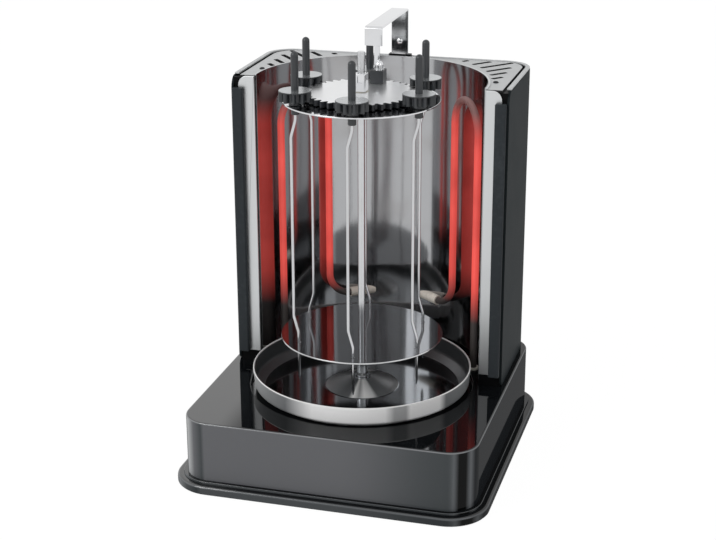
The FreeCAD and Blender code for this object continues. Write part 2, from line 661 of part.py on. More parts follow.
def make_front():
    """Black frames at the case's mouth, with a silver fascia and an edge bar on each."""
    upright = block("frame_upright", ("fascia_in", "case_inner"), ("case_front", "case_front + frame_sheet"),
                    ("base_top", "cover_level"))
    shelf = block("frame_shelf", ("fascia_in", "case_inner"), ("case_front", "screw_line + shelf_end"),
                  ("cover_level - frame_sheet", "cover_level"))
    hole = cylinder("frame_screw_hole", "screw_radius + fit", "cover_level - frame_sheet - 1", "cover_level + 1",
                    "cover_screw_x", "screw_line")
    frame = node("frame_right", cut("frame_cut", fuse("frame_solid", upright, shelf), hole))
    mirrored("frame_left", frame)

    body = new_body("fascia")
    sketch = new_sketch(body, "XZ", "fascia_outline")
    low, high = "base_top + bar_foot", "case_top - cover_drop"
    add_outline(sketch, [("fascia_in", low), ("fascia_out", low), ("fascia_out", f"{high} - fascia_corner"),
                         ("fascia_out - fascia_corner", high, "fascia_corner"), ("fascia_in", high)])
    pad(body, sketch, "fascia_sheet", "fascia_pad")
    fascia = node("fascia_right", move(body, 0, "case_front"))
    mirrored("fascia_left", fascia)

    bar = node("edge_bar_right", block("edge_bar", ("bar_in", "case_inner"),
                                       ("fascia_face - bar_depth", "fascia_face"),
                                       ("base_top + bar_foot", "case_top - bar_head")))
    mirrored("edge_bar_left", bar)


def make_cover():
    """Vented top plates at the two rear corners and the screws that hold them."""
    outline = [
        ("cover_half", "cover_front"), ("cover_half", "cover_rear - cover_corner"),
        ("cover_half - cover_corner", "cover_rear", "cover_corner"), ("cover_in", "cover_rear"),
        ("cover_in", "reflector_y + sqrt(cover_hole ^ 2 - cover_in ^ 2)"),
        ("cover_hole", "reflector_y", "-cover_hole"), ("cover_hole", "cover_front"),
    ]
    body = plate("top_cover", "cover_level", "cover_sheet", outline)
    cutters = [cylinder("cover_screw_hole", "screw_radius + fit", "cover_level - 1",
                        "cover_level + cover_sheet + 1", "cover_screw_x", "screw_line")]
    slope = value("vent_slope_angle")
    for index in range(VENTS):
        turn = f"(vent_first_angle + {index} * vent_pitch_angle)"
        reach = f"(cover_hole + vent_rim + {index} * vent_step)"
        x = f"{reach} * cos{turn}"
        y = f"(reflector_y + {reach} * sin{turn})"
        run = min(value(f"(cover_half - vent_edge - {x}) / cos(vent_slope_angle)"),
                  value(f"(cover_rear - vent_back - {y}) / sin(vent_slope_angle)"))
        slot = block(f"vent_{index}", (x, f"{x} + {run}"), (y, f"{y} + vent_width"),
                     ("cover_level - 1", "cover_level + cover_sheet + 1"))
        slot.Placement = FreeCAD.Placement(slot.Placement.Base, FreeCAD.Rotation(Vector(0, 0, 1), slope))
        cutters.append(slot)
    cover = node("top_cover_right", cut("top_cover_cut", body, *cutters))
    mirrored("top_cover_left", cover)
    group("cover_screws", [screw(f"cover_screw_{side}", f"{sign} * cover_screw_x", "screw_line",
                                 "cover_level + cover_sheet", "cover_screw_length", upward=False)
                           for side, sign in SIDES])


def tube_points():
    """Corner points of the right heating tube, and the arc radius at each inner one."""
    front_turn, rear_turn = (math.radians(value(name)) for name in ("tube_front_angle", "tube_rear_angle"))
    circle, middle_y = value("tube_circle"), value("reflector_y")

    def foot(turn, level):
        return Vector(circle * math.cos(turn), middle_y + circle * math.sin(turn), level)

    span = (foot(front_turn, 0) - foot(rear_turn, 0)).Length
    crown, low = value("tube_top"), value("tube_low")
    bow = span / 2 * CROWN_SHARE
    along = Vector(-math.sin(rear_turn), math.cos(rear_turn), 0)
    points = [foot(front_turn, value("base_top - tube_tail")), foot(front_turn, crown),
              foot(rear_turn, crown), foot(rear_turn, low), foot(rear_turn, low) + along * value("tube_reach")]
    return points, [bow, bow, value("tube_bend")]


def make_heating():
    """Polished reflector, the two heating tubes in front of it and what holds and feeds them."""
    front = "cover_front"
    outline = [
        ("reflector_outer", front), ("reflector_outer", "reflector_y"),
        ("0", "reflector_y + reflector_outer", "reflector_outer"),
        ("-reflector_outer", "reflector_y", "reflector_outer"), ("-reflector_outer", front),
        ("-reflector_radius", front), ("-reflector_radius", "reflector_y"),
        ("0", "reflector_y + reflector_radius", "-reflector_radius"),
        ("reflector_radius", "reflector_y", "-reflector_radius"), ("reflector_radius", front),
    ]
    trough = plate("reflector", "reflector_low", "case_top + reflector_proud - reflector_low", outline)
    flanges = [block(f"flange_{side}", (inner, outer), (front, f"{front} + reflector_sheet"),
                     ("reflector_low", "cover_level - frame_sheet - seat_gap"))
               for side, inner, outer in (
                   ("right", "reflector_radius", "fascia_in + reflector_flange"),
                   ("left", "-fascia_in - reflector_flange", "-reflector_radius"))]
    sheet_body = fuse("reflector_solid", trough, *flanges)
    points, radii = tube_points()
    tube = shaped("tube_right", bent_rod(points, radii, value("tube_radius")))
    corner, end = points[-2], points[-1]
    along = (end - corner).normalize()
    collar = value("tube_radius + bush_wall")
    entry = corner + along * value("tube_reach - bush_length - bush_back")
    rear_hole = Part.makeCylinder(collar + value("fit"), value("2 * bush_length"), entry, along)
    left_hole = rear_hole.mirror(Vector(), Vector(1, 0, 0))
    node("reflector", cut("reflector_cut", sheet_body, shaped("reflector_hole_right", rear_hole),
                          shaped("reflector_hole_left", left_hole)))
    mirrored("heating_tube_left", node("heating_tube_right", tube))

    bore = value("tube_radius + fit")
    front_bush = ring("bush_front", "tube_radius + fit", "tube_radius + bush_wall", "well_under",
                      "base_top", TUBE_X, TUBE_Y)
    front_rim = ring("bush_rim", "tube_radius + fit", "tube_radius + bush_wall + bush_collar", "base_top",
                     "base_top + bush_rise", TUBE_X, TUBE_Y)
    rear_bush = shaped("bush_rear", Part.makeCylinder(collar, value("bush_length"), entry, along).cut(
        Part.makeCylinder(bore, value("bush_length"), entry, along)))
    rights = [fuse("bush_front_solid", front_bush, front_rim), rear_bush]
    group("ceramic_bushes", rights + [twin(item) for item in rights])

    blade_half, blade = value("blade_width") / 2, value("blade_length")
    low = points[0]
    low_blade = Part.makeBox(2 * blade_half, value("blade_sheet"), blade,
                             low - Vector(blade_half, value("blade_sheet") / 2, blade))
    rear_blade = Part.makeBox(value("blade_sheet"), value("blade_end"), 2 * blade_half,
                              Vector(-value("blade_sheet") / 2, 0, -blade_half))
    rear_blade.rotate(Vector(), Vector(0, 0, 1), value("tube_rear_angle"))
    rear_blade.translate(end)
    blades = [shaped("blade_front", low_blade), shaped("blade_rear", rear_blade)]
    group("tube_blades", blades + [twin(item) for item in blades])


def twin(source):
    """Left-hand copy that shares its node with the right-hand one."""
    item = doc.addObject("Part::Mirroring", source.Name + "_left")
    item.Source = source
    item.Normal = Vector(1, 0, 0)
    return item


def make_tray():
    """Drip tray of thin steel: a steep wall, a flat floor and a cone around the drive."""
    hole = "(sleeve_radius + hole_play)"
    floor = "(tray_low + tray_sheet)"
    node("drip_tray", turned("drip_tray", [
        (hole, f"{floor} + cone_height"), ("cone_top", f"{floor} + cone_height"), ("cone_radius", floor),
        ("tray_floor", floor), ("tray_radius - tray_step - tray_sheet", f"{floor} + tray_round"),
        ("tray_radius - tray_sheet", "tray_rim"), ("tray_radius", "tray_rim"),
        ("tray_radius - tray_step", f"tray_low + tray_round"), ("tray_floor", "tray_low"),
        ("cone_radius", "tray_low"), ("cone_top", "tray_low + cone_height"),
        (hole, "tray_low + cone_height")], 0, "axis_y"))


def skewer_place(index):
    """Centre of one skewer on its circle, and the formula of its angle."""
    turn = f"(carousel_turn + {index} * {FULL_TURN} / {SKEWERS})"
    return f"skewer_circle * cos{turn}", f"axis_y + skewer_circle * sin{turn}", turn


def disc(label, radius, level, hole):
    """Round plate on the shaft with one hole for each skewer."""
    circles = [(radius, 0, 0), ("shaft_radius + fit", 0, 0)]
    for index in range(SKEWERS):
        turn = f"(carousel_turn + {index} * {FULL_TURN} / {SKEWERS})"
        circles.append((hole, f"skewer_circle * cos{turn}", f"skewer_circle * sin{turn}"))
    node(label, move(plate(label, level, "disc_sheet", circles=circles), 0, "axis_y"))


def make_carousel():
    """Shaft, sleeve, the two discs that carry the skewers, the collar and the knob."""
    node("centre_shaft", cylinder("shaft_bar", "shaft_radius", "shaft_low", "shaft_top", 0, "axis_y"))
    barrel = cylinder("sleeve_barrel", "sleeve_radius", "sleeve_low", "lower_level", 0, "axis_y")
    upper_bore = cylinder("sleeve_bore", "shaft_radius + fit", "sleeve_low", "lower_level", 0, "axis_y")
    socket = flatted("sleeve_socket", cylinder("sleeve_round", "spigot_radius + fit", "sleeve_low",
                                               "shaft_low", 0, "axis_y"),
                     "spigot_radius + fit", "spigot_flat + fit", "sleeve_low", "shaft_low")
    node("shaft_sleeve", cut("sleeve_cut", barrel, upper_bore, socket))
    disc("carrier_disc", "carrier_radius", "carrier_level", "ferrule_radius + hole_play")
    disc("lower_disc", "lower_radius", "lower_level", "rod_radius + hole_play")
    node("carrier_collar", ring("carrier_collar", "shaft_radius + fit", "collar_radius",
                                "carrier_level - collar_height", "carrier_level", 0, "axis_y"))
    foot_top = "knob_low + knob_foot"
    foot = block("knob_base", ("-knob_block / 2", "knob_block / 2"),
                 ("axis_y - knob_block / 2", "axis_y + knob_block / 2"), ("knob_low", foot_top))
    stem = cylinder("knob_stem", "knob_radius", foot_top, f"{foot_top} + knob_height", 0, "axis_y")
    bore = cylinder("knob_bore", "shaft_radius + fit", "knob_low", "shaft_top", 0, "axis_y")
    window = block("knob_window", ("-knob_block / 5", "knob_block / 5"),
                   ("axis_y - knob_block / 2", "axis_y - knob_block / 2 + knob_slot"),
                   (f"{foot_top} - knob_foot / 2", f"{foot_top} - knob_foot / 8"))
    node("shaft_knob", cut("knob_cut", fuse("knob_solid", foot, stem), bore, window))


def make_gears():
    """Fixed sun gear above the carrier, its bearing, and the block that locks it to the bracket."""
    blank = shaped("sun_blank", gear_blank(int(value("sun_teeth")), value("sun_sheet")))
    move(blank, 0, "axis_y", "sun_low")
    bore = cylinder("sun_bore", "bearing_radius + fit", "sun_low", "sun_top", 0, "axis_y")
    node("sun_gear", cut("sun_cut", blank, bore))
    node("sun_bearing", turned("sun_bearing", [
        ("shaft_radius + fit", "boss_low"), ("bearing_rim", "boss_low"), ("bearing_rim", "sun_low"),
        ("bearing_radius", "sun_low"), ("bearing_radius", "sun_top"), ("shaft_radius + fit", "sun_top")],
        0, "axis_y"))
    lock = block("lock_solid", ("lock_shift - lock_width / 2", "lock_shift + lock_width / 2"),
                 ("lock_front", "lock_front + lock_depth"), ("sun_top", "lock_top"))
    slot = block("lock_slot", ("tongue_shift - tongue_width / 2 - lock_play",
                               "tongue_shift + tongue_width / 2 + lock_play"),
                 ("bracket_front - lock_play", "bracket_front + bracket_sheet + lock_play"),
                 ("sun_top", "lock_top"))
    node("lock_block", cut("lock_cut", lock, slot))
    node("lock_cap", cylinder("lock_nut", "cap_radius", "lock_top", "lock_top + cap_height",
                              "lock_shift + cap_shift", "lock_front + cap_radius"))


def make_bracket():
    """Strap that lifts in a guide at the back and holds the sun gear still with its tongue."""
    half = "bracket_width / 2"
    across = (f"-{half}", half)
    front = ("bracket_front", "bracket_front + bracket_sheet")
    rear = ("bracket_rear", "bracket_rear + bracket_sheet")
    pieces = [
        block("strap_top", across, (front[0], rear[1]), ("bracket_top - bracket_sheet", "bracket_top")),
        block("strap_front", across, front, ("bracket_mid", "bracket_top")),
        block("strap_tongue", ("tongue_shift - tongue_width / 2", "tongue_shift + tongue_width / 2"), front,
              ("sun_top + tongue_lift", "bracket_mid")),
        block("strap_rear", across, rear, ("bracket_low", "bracket_top")),
    ]
    node("hold_bracket", fuse("strap_solid", *pieces))
    node("bracket_stud", lying("stud_head", "stud_radius", "stud_proud", 0, "bracket_rear",
                               "guide_top + stud_rise", Vector(0, -1, 0)))
    guide = block("guide_solid", (f"-{half} - guide_wall", f"{half} + guide_wall"),
                  ("bracket_rear - guide_play - reflector_sheet", "case_inner_back"),
                  ("guide_top - guide_height", "guide_top"))
    slot = block("guide_slot", (f"-{half} - guide_play", f"{half} + guide_play"),
                 ("bracket_rear - guide_play", "bracket_rear + bracket_sheet + guide_play"),
                 ("guide_top - guide_height", "guide_top"))
    node("bracket_guide", cut("guide_cut", guide, slot))


def make_skewers():
    """Six skewers, each a cranked steel rod in a dark grip with a ferrule, boss and pinion."""
    teeth = int(value("pinion_teeth"))
    ratio = value("sun_teeth / pinion_teeth")
    pinion = gear_blank(teeth, value("pinion_height"))
    rod = skewer_rod()
    for index in range(SKEWERS):
        number = index + 1
        x, y, turn = skewer_place(index)
        bar = shaped(f"skewer_bar_{number}", rod)
        bar.Placement = FreeCAD.Placement(Vector(), FreeCAD.Rotation(Vector(0, 0, 1), CRANK_TURNS[index]))
        node(f"skewer_rod_{number}", move(bar, x, y))
        wheel = shaped(f"pinion_{number}", pinion)
        phase = value(turn) * (1 + ratio) + FULL_TURN / 2 + FULL_TURN / (2 * teeth)
        wheel.Placement = FreeCAD.Placement(Vector(), FreeCAD.Rotation(Vector(0, 0, 1), phase))
        move(wheel, x, y, "pinion_low")
        ferrule = cylinder(f"ferrule_{number}", "ferrule_radius", "boss_low - ferrule_length", "boss_low", x, y)
        boss = cylinder(f"boss_{number}", "boss_radius", "boss_low", "pinion_low", x, y)
        grip = cylinder(f"handle_{number}", "grip_radius", "pinion_top", "grip_top", x, y)
        socket = cylinder(f"socket_{number}", "rod_radius + fit", "boss_low - ferrule_length", "rod_top", x, y)
        whole = fuse(f"grip_solid_{number}", ferrule, boss, wheel, grip)
        node(f"skewer_grip_{number}", cut(f"grip_cut_{number}", whole, socket))


def skewer_rod():
    """Pointed rod: a pin on the axis at the foot, a crank out, a long run and a crank back."""
    out = value("rod_crank")
    tip, point = value("tip_low"), value("rod_point")
    foot = value("lower_level + rod_pin")
    head = value("boss_low - ferrule_length - rod_pin / 2")
    slope = value("rod_slope")
    points = [Vector(0, 0, tip + point), Vector(0, 0, foot), Vector(out, 0, foot + slope),
              Vector(out, 0, head - slope), Vector(0, 0, head), Vector(0, 0, value("rod_top"))]
    bar = bent_rod(points, [value("rod_bend")] * 4, value("rod_radius"))
    tip_cone = Part.makeCone(value("rod_radius") / 4, value("rod_radius"), point, Vector(0, 0, tip))
    return bar.fuse(tip_cone)


def check_and_export():
    """Stop on any failed object, then write one file for each sub-part."""
    doc.recompute()
    for item in doc.Objects:
        if {"Invalid", "Error"} & set(item.State):
            raise RuntimeError(f"{item.Name} failed: {item.State}")
    for label, item in nodes.items():
        if item.Shape.isNull() or not item.Shape.isValid():
            raise RuntimeError(f"{label} has no valid shape")
    os.makedirs("parts", exist_ok=True)
    for label, item in nodes.items():
        item.Shape.exportStep(f"parts/{label}.step")
    print(f"{len(nodes)} sub-parts written")


make_base_shell()
make_plinth()
make_drive()
make_electrics()
make_case()
make_front()
make_cover()
make_heating()
make_tray()
make_carousel()
make_gears()
make_bracket()
make_skewers()
check_and_export()
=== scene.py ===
"""Looks of a tabletop electric skewer grill.

A gloss base with a drip tray carries a tall rear case with a polished reflector and two glowing
tubes, and a geared carousel of six skewers turns in front of them. Lengths are in millimetres
until a mesh is made; +Z is up and the front faces -Y.
"""

import logging
import math
from dataclasses import dataclass, field
from enum import Enum
from functools import cache, partial
from typing import Any, ClassVar, Sequence

import bmesh
import bpy
import numpy as np
from mathutils import Matrix, Vector


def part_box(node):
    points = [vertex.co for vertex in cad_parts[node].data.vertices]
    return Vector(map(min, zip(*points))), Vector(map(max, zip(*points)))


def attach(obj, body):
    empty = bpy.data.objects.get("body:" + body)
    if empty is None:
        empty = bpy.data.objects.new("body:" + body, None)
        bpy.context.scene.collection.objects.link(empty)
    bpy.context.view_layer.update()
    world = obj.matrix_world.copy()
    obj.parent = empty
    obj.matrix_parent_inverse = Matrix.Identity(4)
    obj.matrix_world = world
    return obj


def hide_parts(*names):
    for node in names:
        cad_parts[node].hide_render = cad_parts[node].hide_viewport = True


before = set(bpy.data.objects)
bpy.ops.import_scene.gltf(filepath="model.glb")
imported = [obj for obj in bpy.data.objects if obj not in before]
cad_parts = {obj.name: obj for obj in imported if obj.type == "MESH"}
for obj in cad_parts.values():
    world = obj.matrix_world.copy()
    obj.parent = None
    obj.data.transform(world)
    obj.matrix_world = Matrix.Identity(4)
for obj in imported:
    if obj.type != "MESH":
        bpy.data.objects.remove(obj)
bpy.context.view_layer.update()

log = logging.getLogger("skewer_grill")
MM = 0.001
Array = np.ndarray
Pair = tuple[float, float]
Triple = tuple[float, float, float]
Colour = tuple[float, float, float, float]
Sockets = dict[int | str, Any]


# ---------------------------------------------------------------- surfaces

def unit(vectors: Array) -> Array:
    """Vectors divided by their own lengths along the last axis."""
    return vectors / np.linalg.norm(vectors, axis=-1, keepdims=True)


def rounded_path(corners: Sequence[Sequence[float]], radii: Sequence[float], closed: bool = False,
                 step: float = 7.5) -> Array:
    """Straight runs joined by tangent arcs, in two or three dimensions.

    An arc's centre lies on the bisector of its corner at radius / sin(half angle), and its points
    turn from one leg to the other by spherical interpolation about that centre.

    Args:
        corners: Corner points in order.
        radii: Arc radius at each corner, 0 where the corner stays sharp.
        closed: Whether the last corner runs back to the first.
        step: Largest turn between two points of an arc, in degrees.

    Returns:
        Points of the path, one per row.
    """
    points = np.asarray(corners, float)
    count = len(points)
    parts = []
    for index, (corner, radius) in enumerate(zip(points, radii)):
        if radius <= 0 or (not closed and index in (0, count - 1)):
            parts.append(corner[None])
            continue
        back = unit(points[index - 1] - corner)
        ahead = unit(points[(index + 1) % count] - corner)
        half = math.acos(float(np.clip(back @ ahead, -1, 1))) / 2
        centre = corner + unit(back + ahead) * radius / math.sin(half)
        start = corner + back * radius / math.tan(half) - centre
        end = corner + ahead * radius / math.tan(half) - centre
        turn = math.pi - 2 * half
        pieces = max(2, math.ceil(math.degrees(turn) / step))
        share = np.linspace(0, 1, pieces + 1)[:, None]
        mixed = np.sin((1 - share) * turn) * start + np.sin(share * turn) * end
        parts.append(centre + mixed / math.sin(turn))
    return np.concatenate(parts)


def outward(outline: Array) -> Array:
    """Mitred normals of a closed plane outline that runs counter-clockwise.

    The normal at a point is the sum of its two edges' normals over 1 + their dot product.

    Args:
        outline: Points, one per row.

    Returns:
        One normal per point; an offset along it moves both edges by the same distance.
    """
    edges = unit(np.roll(outline, -1, 0) - outline)
    after = np.stack([edges[:, 1], -edges[:, 0]], 1)
    before = np.roll(after, 1, 0)
    return (before + after) / (1 + (before * after).sum(1, keepdims=True))


def carried(outline: Array, section: Sequence[Pair]) -> Array:
    """A section carried round a closed plane outline.

    Point (i, j) is outline point i moved out along its normal by the section's offset j, at the
    section's height j.

    Args:
        outline: Closed outline, counter-clockwise.
        section: Pairs of offset and height.

    Returns:
        Grid of points: outline by section by 3.
    """
    offsets, heights = np.asarray(section, float).T
    flat = outline[:, None, :] + outward(outline)[:, None, :] * offsets[None, :, None]
    levels = np.broadcast_to(heights[None, :, None], (*flat.shape[:2], 1))
    return np.concatenate([flat, levels], 2)


def turned(section: Sequence[Pair] | Array, x: float, y: float, steps: int) -> Array:
    """A section of radius and height turned about an upright axis.

    Point (i, j) stands at angle 2 pi i / steps, at the section's radius j and height j.

    Args:
        section: Pairs of radius and height.
        x: Axis place along X.
        y: Axis place along Y.
        steps: Points round the axis.

    Returns:
        Grid of points: angle by section by 3.
    """
    radii, heights = np.asarray(section, float).T
    angles = np.linspace(0, 2 * math.pi, steps, endpoint=False)
    grid = np.empty((steps, len(radii), 3))
    grid[..., 0] = x + np.cos(angles)[:, None] * radii
    grid[..., 1] = y + np.sin(angles)[:, None] * radii
    grid[..., 2] = heights
    return grid


def swept(path: Array, radius: float | Array, across: Sequence[float], steps: int) -> Array:
    """A round section carried along a path in space.

    The tangent halves the angle between a point's two runs, the first axis of the section is the
    across direction less its share along the tangent, and the second is their cross product.

    Args:
        path: Points of the centre line.
        radius: One radius, or one per point.
        across: Direction that is never parallel to the path.
        steps: Points round the section.

    Returns:
        Grid of points: path by section by 3.
    """
    runs = unit(np.diff(path, axis=0))
    tangents = unit(np.concatenate([runs[:1], runs[:-1] + runs[1:], runs[-1:]]))
    aside = np.asarray(across, float)
    first = unit(aside - tangents * (tangents @ aside)[:, None])[:, None]
    second = np.cross(tangents, first[:, 0])[:, None]
    angles = np.linspace(0, 2 * math.pi, steps, endpoint=False)[None, :, None]
    reach = np.broadcast_to(radius, (len(path),))[:, None, None]
    return path[:, None] + reach * (np.cos(angles) * first + np.sin(angles) * second)


def ring_like(outline: Array, axis: Pair, radius: float, level: float) -> Array:
    """A level ring about an upright axis that follows an outline's angles.

    Point i stands at the ring's radius, in the direction from the axis to outline point i.

    Args:
        outline: Outline about the axis.
        axis: Axis place.
        radius: Radius of the ring.
        level: Its height.

    Returns:
        Points, one for each of the outline's.
    """
    aim = np.arctan2(outline[:, 1] - axis[1], outline[:, 0] - axis[0])
    aside = np.stack([np.cos(aim), np.sin(aim)], 1)
    return np.concatenate([axis + radius * aside, np.full((len(aim), 1), level)], 1)


def fillet(radius: float, inset: float, height: float, steps: int) -> list[Pair]:
    """Quarter arc from a wall in to a top: inset - r (1 - cos a), height - r (1 - sin a)."""
    angles = np.linspace(0, math.pi / 2, steps + 1)
    return [*zip(inset - radius * (1 - np.cos(angles)), height - radius * (1 - np.sin(angles)))]


def dome(radius: float, top: float, rise: float, steps: int, inset: float = 0) -> list[Pair]:
    """Quarter ellipse in and up to its top: inset + radius cos a, top - rise + rise sin a."""
    angles = np.linspace(0, math.pi / 2, steps + 1)
    return [*zip(inset + radius * np.cos(angles), top - rise + rise * np.sin(angles))]


def box_outline(x: Pair, y: Pair, corner: float, step: float = 15) -> Array:
    """Rectangle with four equal round corners, counter-clockwise."""
    corners = [(x[0], y[0]), (x[1], y[0]), (x[1], y[1]), (x[0], y[1])]
    return rounded_path(corners, [corner] * 4, closed=True, step=step)


def circle(radius: float, x: float, y: float, steps: int) -> Array:
    """Circle of points, counter-clockwise: x + radius cos a and y + radius sin a."""
    angles = np.linspace(0, 2 * math.pi, steps, endpoint=False)
    return np.stack([x + radius * np.cos(angles), y + radius * np.sin(angles)], 1)


def divided(outline: Array, longest: float, parts: int) -> Array:
    """A closed outline whose long runs are divided evenly.

    Point k of a divided run stands at k / parts of the way along it.

    Args:
        outline: Closed outline.
        longest: Length past which a run is divided.
        parts: Number of its parts.

    Returns:
        Points, one per row.
    """
    runs = np.roll(outline, -1, 0) - outline
    counts = np.where(np.linalg.norm(runs, axis=1) > longest, parts, 1)
    index = np.repeat(np.arange(len(outline)), counts)
    first = np.repeat(np.cumsum(counts) - counts, counts)
    share = (np.arange(len(index)) - first) / counts[index]
    return outline[index] + runs[index] * share[:, None]


def grown(span: Pair, by: float) -> Pair:
    """A span made longer by the same length at both ends."""
    return span[0] - by, span[1] + by


@dataclass(frozen=True)
class Tooth:
    """Tooth that all the gears share: involute flanks with an eased tip.

    Attributes:
        module: Pitch diameter over the number of teeth.
        slope: Pressure angle, in degrees.
        addendum: Height over the pitch circle, in modules.
        dedendum: Depth below the pitch circle, in modules.
        backlash: Play along the pitch circle.
        ease: Height of the eased corners of the tip.
        land: Width of the tip's top over that of the upper end of the flanks.
        shortest: Length below which a run of the outline is left out.
    """

    module: float = 2.6
    slope: float = 25
    addendum: float = 0.8
    dedendum: float = 1.05
    backlash: float = 0.15
    ease: float = 0.25
    land: float = 0.7
    shortest: float = 0.01

    def tip(self, count: int) -> float:
        """Radius of the tips of a gear: that of the pitch circle and one addendum."""
        return self.module * (count / 2 + self.addendum)

    def outline(self, count: int, centre: Pair, phase: float) -> Array:
        """Outline of a spur gear.

        A flank point at radius r stands at the tooth's middle angle less or plus its half angle
        at the pitch circle less inv(acos(base / r)), where inv(a) = tan(a) - a. One tooth is
        worked out and turned to every place at once.

        Args:
            count: Number of teeth.
            centre: Axis place.
            phase: Angle of the first tooth, in degrees.

        Returns:
            Closed outline, counter-clockwise.
        """
        pitch, slope = self.module * count / 2, math.radians(self.slope)
        base, root = pitch * math.cos(slope), pitch - self.dedendum * self.module
        tip = pitch + self.addendum * self.module
        wide = math.pi / (2 * count) - self.backlash / (2 * pitch) + math.tan(slope) - slope
        rise = np.linspace(max(root, base), tip - self.ease, 4)
        reach = np.arccos(base / rise)
        flank = wide - (np.tan(reach) - reach)
        land = flank[-1] * self.land
        radii = np.concatenate([[root], rise, [tip, tip], rise[::-1], [root]])
        angles = np.concatenate([[-flank[0]], -flank, [-land, land], flank[::-1], [flank[0]]])
        places = np.arange(count)[:, None] * 2 * math.pi / count
        turns = angles + math.radians(phase) + places
        points = np.stack([np.cos(turns) * radii, np.sin(turns) * radii], -1).reshape(-1, 2)
        runs = np.linalg.norm(points - np.roll(points, 1, 0), axis=1)
        return points[runs > self.shortest] + np.asarray(centre)


class Facing(Enum):
    """Which way a plate's outline plane faces: the order of its outline's and height's axes."""

    UP = (0, 1, 2)
    FRONT = (0, 2, 1)
    SIDE = (1, 2, 0)


def linked(name: str, data: bpy.types.ID) -> bpy.types.Object:
    """New object in the scene.

    Args:
        name: Its name.
        data: Mesh, lamp or camera that it shows.

    Returns:
        The object.
    """
    item = bpy.data.objects.new(name, data)
    bpy.context.scene.collection.objects.link(item)
    return item


class Shell:
    """Vertices and faces of one piece, gathered surface by surface in millimetres.

    Attributes:
        WELD: Distance at which two points become one, in metres.
        SLIVER: Length below which an edge is dissolved, in metres.
    """

    WELD = 2e-6
    SLIVER = 1e-6

    def __init__(self) -> None:
        """Start with nothing in it."""
        self.points: list[Array] = []
        self.faces: list[list[int]] = []
        self.count = 0

    def add(self, grid: Array, closed: tuple[bool, bool] = (True, False), caps: bool = False,
            facing: Facing = Facing.UP) -> "Shell":
        """Add the quads of a grid of points.

        Face (i, j) joins points (i, j), (i + 1, j), (i + 1, j + 1) and (i, j + 1), and the indices
        wrap where that direction is closed.

        Args:
            grid: Points, rows by columns by 3.
            closed: Whether rows and columns wrap.
            caps: Whether the ends of the open direction get one flat face each.
            facing: Axes that the grid's own axes stand for.

        Returns:
            This shell.
        """
        rows, columns = grid.shape[:2]
        index = np.arange(rows * columns).reshape(rows, columns) + self.count
        along = np.concatenate([index, index[:1]]) if closed[0] else index
        both = np.concatenate([along, along[:, :1]], 1) if closed[1] else along
        quads = np.stack([both[:-1, :-1], both[1:, :-1], both[1:, 1:], both[:-1, 1:]], -1)
        self.faces += quads.reshape(-1, 4).tolist()
        if caps:
            ends = (index[0], index[-1]) if closed[1] else (index[:, 0], index[:, -1])
            self.faces += [ends[0].tolist(), ends[1][::-1].tolist()]
        placed = np.empty((rows * columns, 3))
        placed[:, list(facing.value)] = grid.reshape(-1, 3)
        self.points.append(placed)
        self.count += rows * columns
        return self

    def slab(self, outline: Array, low: float, high: float, edge: float,
             facing: Facing = Facing.UP) -> "Shell":
        """Add a flat plate with eased edges.

        Args:
            outline: Closed outline, counter-clockwise.
            low: Lower level.
            high: Upper level.
            edge: Radius of the eased edges.
            facing: Axes that the outline and the level stand for.

        Returns:
            This shell.
        """
        top = fillet(edge, 0, high, 3)
        under = [(offset, low + high - height) for offset, height in reversed(top)]
        return self.add(carried(outline, under + top), caps=True, facing=facing)

    def mirrored(self) -> "Shell":
        """Twin of this shell on the other side of the middle plane, X changed for -X.

        Returns:
            The twin, with its faces turned round so that they still look outwards.
        """
        other = Shell()
        other.points = [points * (-1, 1, 1) for points in self.points]
        other.faces = [face[::-1] for face in self.faces]
        other.count = self.count
        return other

    def mesh(self, name: str) -> bpy.types.Mesh:
        """Mesh in metres with its seams and poles merged and its faces turned outwards.

        Args:
            name: Name of the mesh.

        Returns:
            The mesh, smooth but for its sharp edges.
        """
        mesh = bpy.data.meshes.new(name)
        mesh.from_pydata(np.concatenate(self.points) * MM, [], self.faces)
        work = bmesh.new()
        work.from_mesh(mesh)
        bmesh.ops.remove_doubles(work, verts=work.verts, dist=self.WELD)
        bmesh.ops.dissolve_degenerate(work, edges=work.edges, dist=self.SLIVER)
        bmesh.ops.recalc_face_normals(work, faces=work.faces)
        work.to_mesh(mesh)
        work.free()
        return mesh

    def solid(self, name: str) -> bpy.types.Object:
        """Object of this shell, linked to the scene."""
        return linked(name, self.mesh(name))


def cut(piece: bpy.types.Object, cutter: Shell) -> None:
    """Take a cutter's volume out of a piece.

    Args:
        piece: Piece to cut; its mesh is changed.
        cutter: Closed shells to take away.
    """
    tool = cutter.solid("cutter")
    modifier = piece.modifiers.new("cut", "BOOLEAN")
    modifier.operation = "DIFFERENCE"
    modifier.solver = "EXACT"
    modifier.object = tool
    seen = piece.evaluated_get(bpy.context.evaluated_depsgraph_get())
    shape = bpy.data.meshes.new_from_object(seen)
    piece.modifiers.remove(modifier)
    piece.data = shape
    bpy.data.objects.remove(tool)


# ---------------------------------------------------------------- shader nodes

def linear(code: str) -> Colour:
    """Shader colour of a hexadecimal display colour.

    Each channel c becomes c / 12.92 below 0.04045 and ((c + 0.055) / 1.055) ^ 2.4 above.

    Args:
        code: Six hexadecimal digits.

    Returns:
        Red, green, blue and a full alpha.
    """
    channels = [int(code[i:i + 2], 16) / 255 for i in (0, 2, 4)]
    return (*(c / 12.92 if c <= 0.04045 else ((c + 0.055) / 1.055) ** 2.4 for c in channels), 1.0)


def toned(colour: Colour, gain: float, lift: float = 0.0) -> Colour:
    """Shader colour whose channels c become gain * c + lift, and 1 at most."""
    return (*(min(1.0, c * gain + lift) for c in colour[:3]), 1.0)


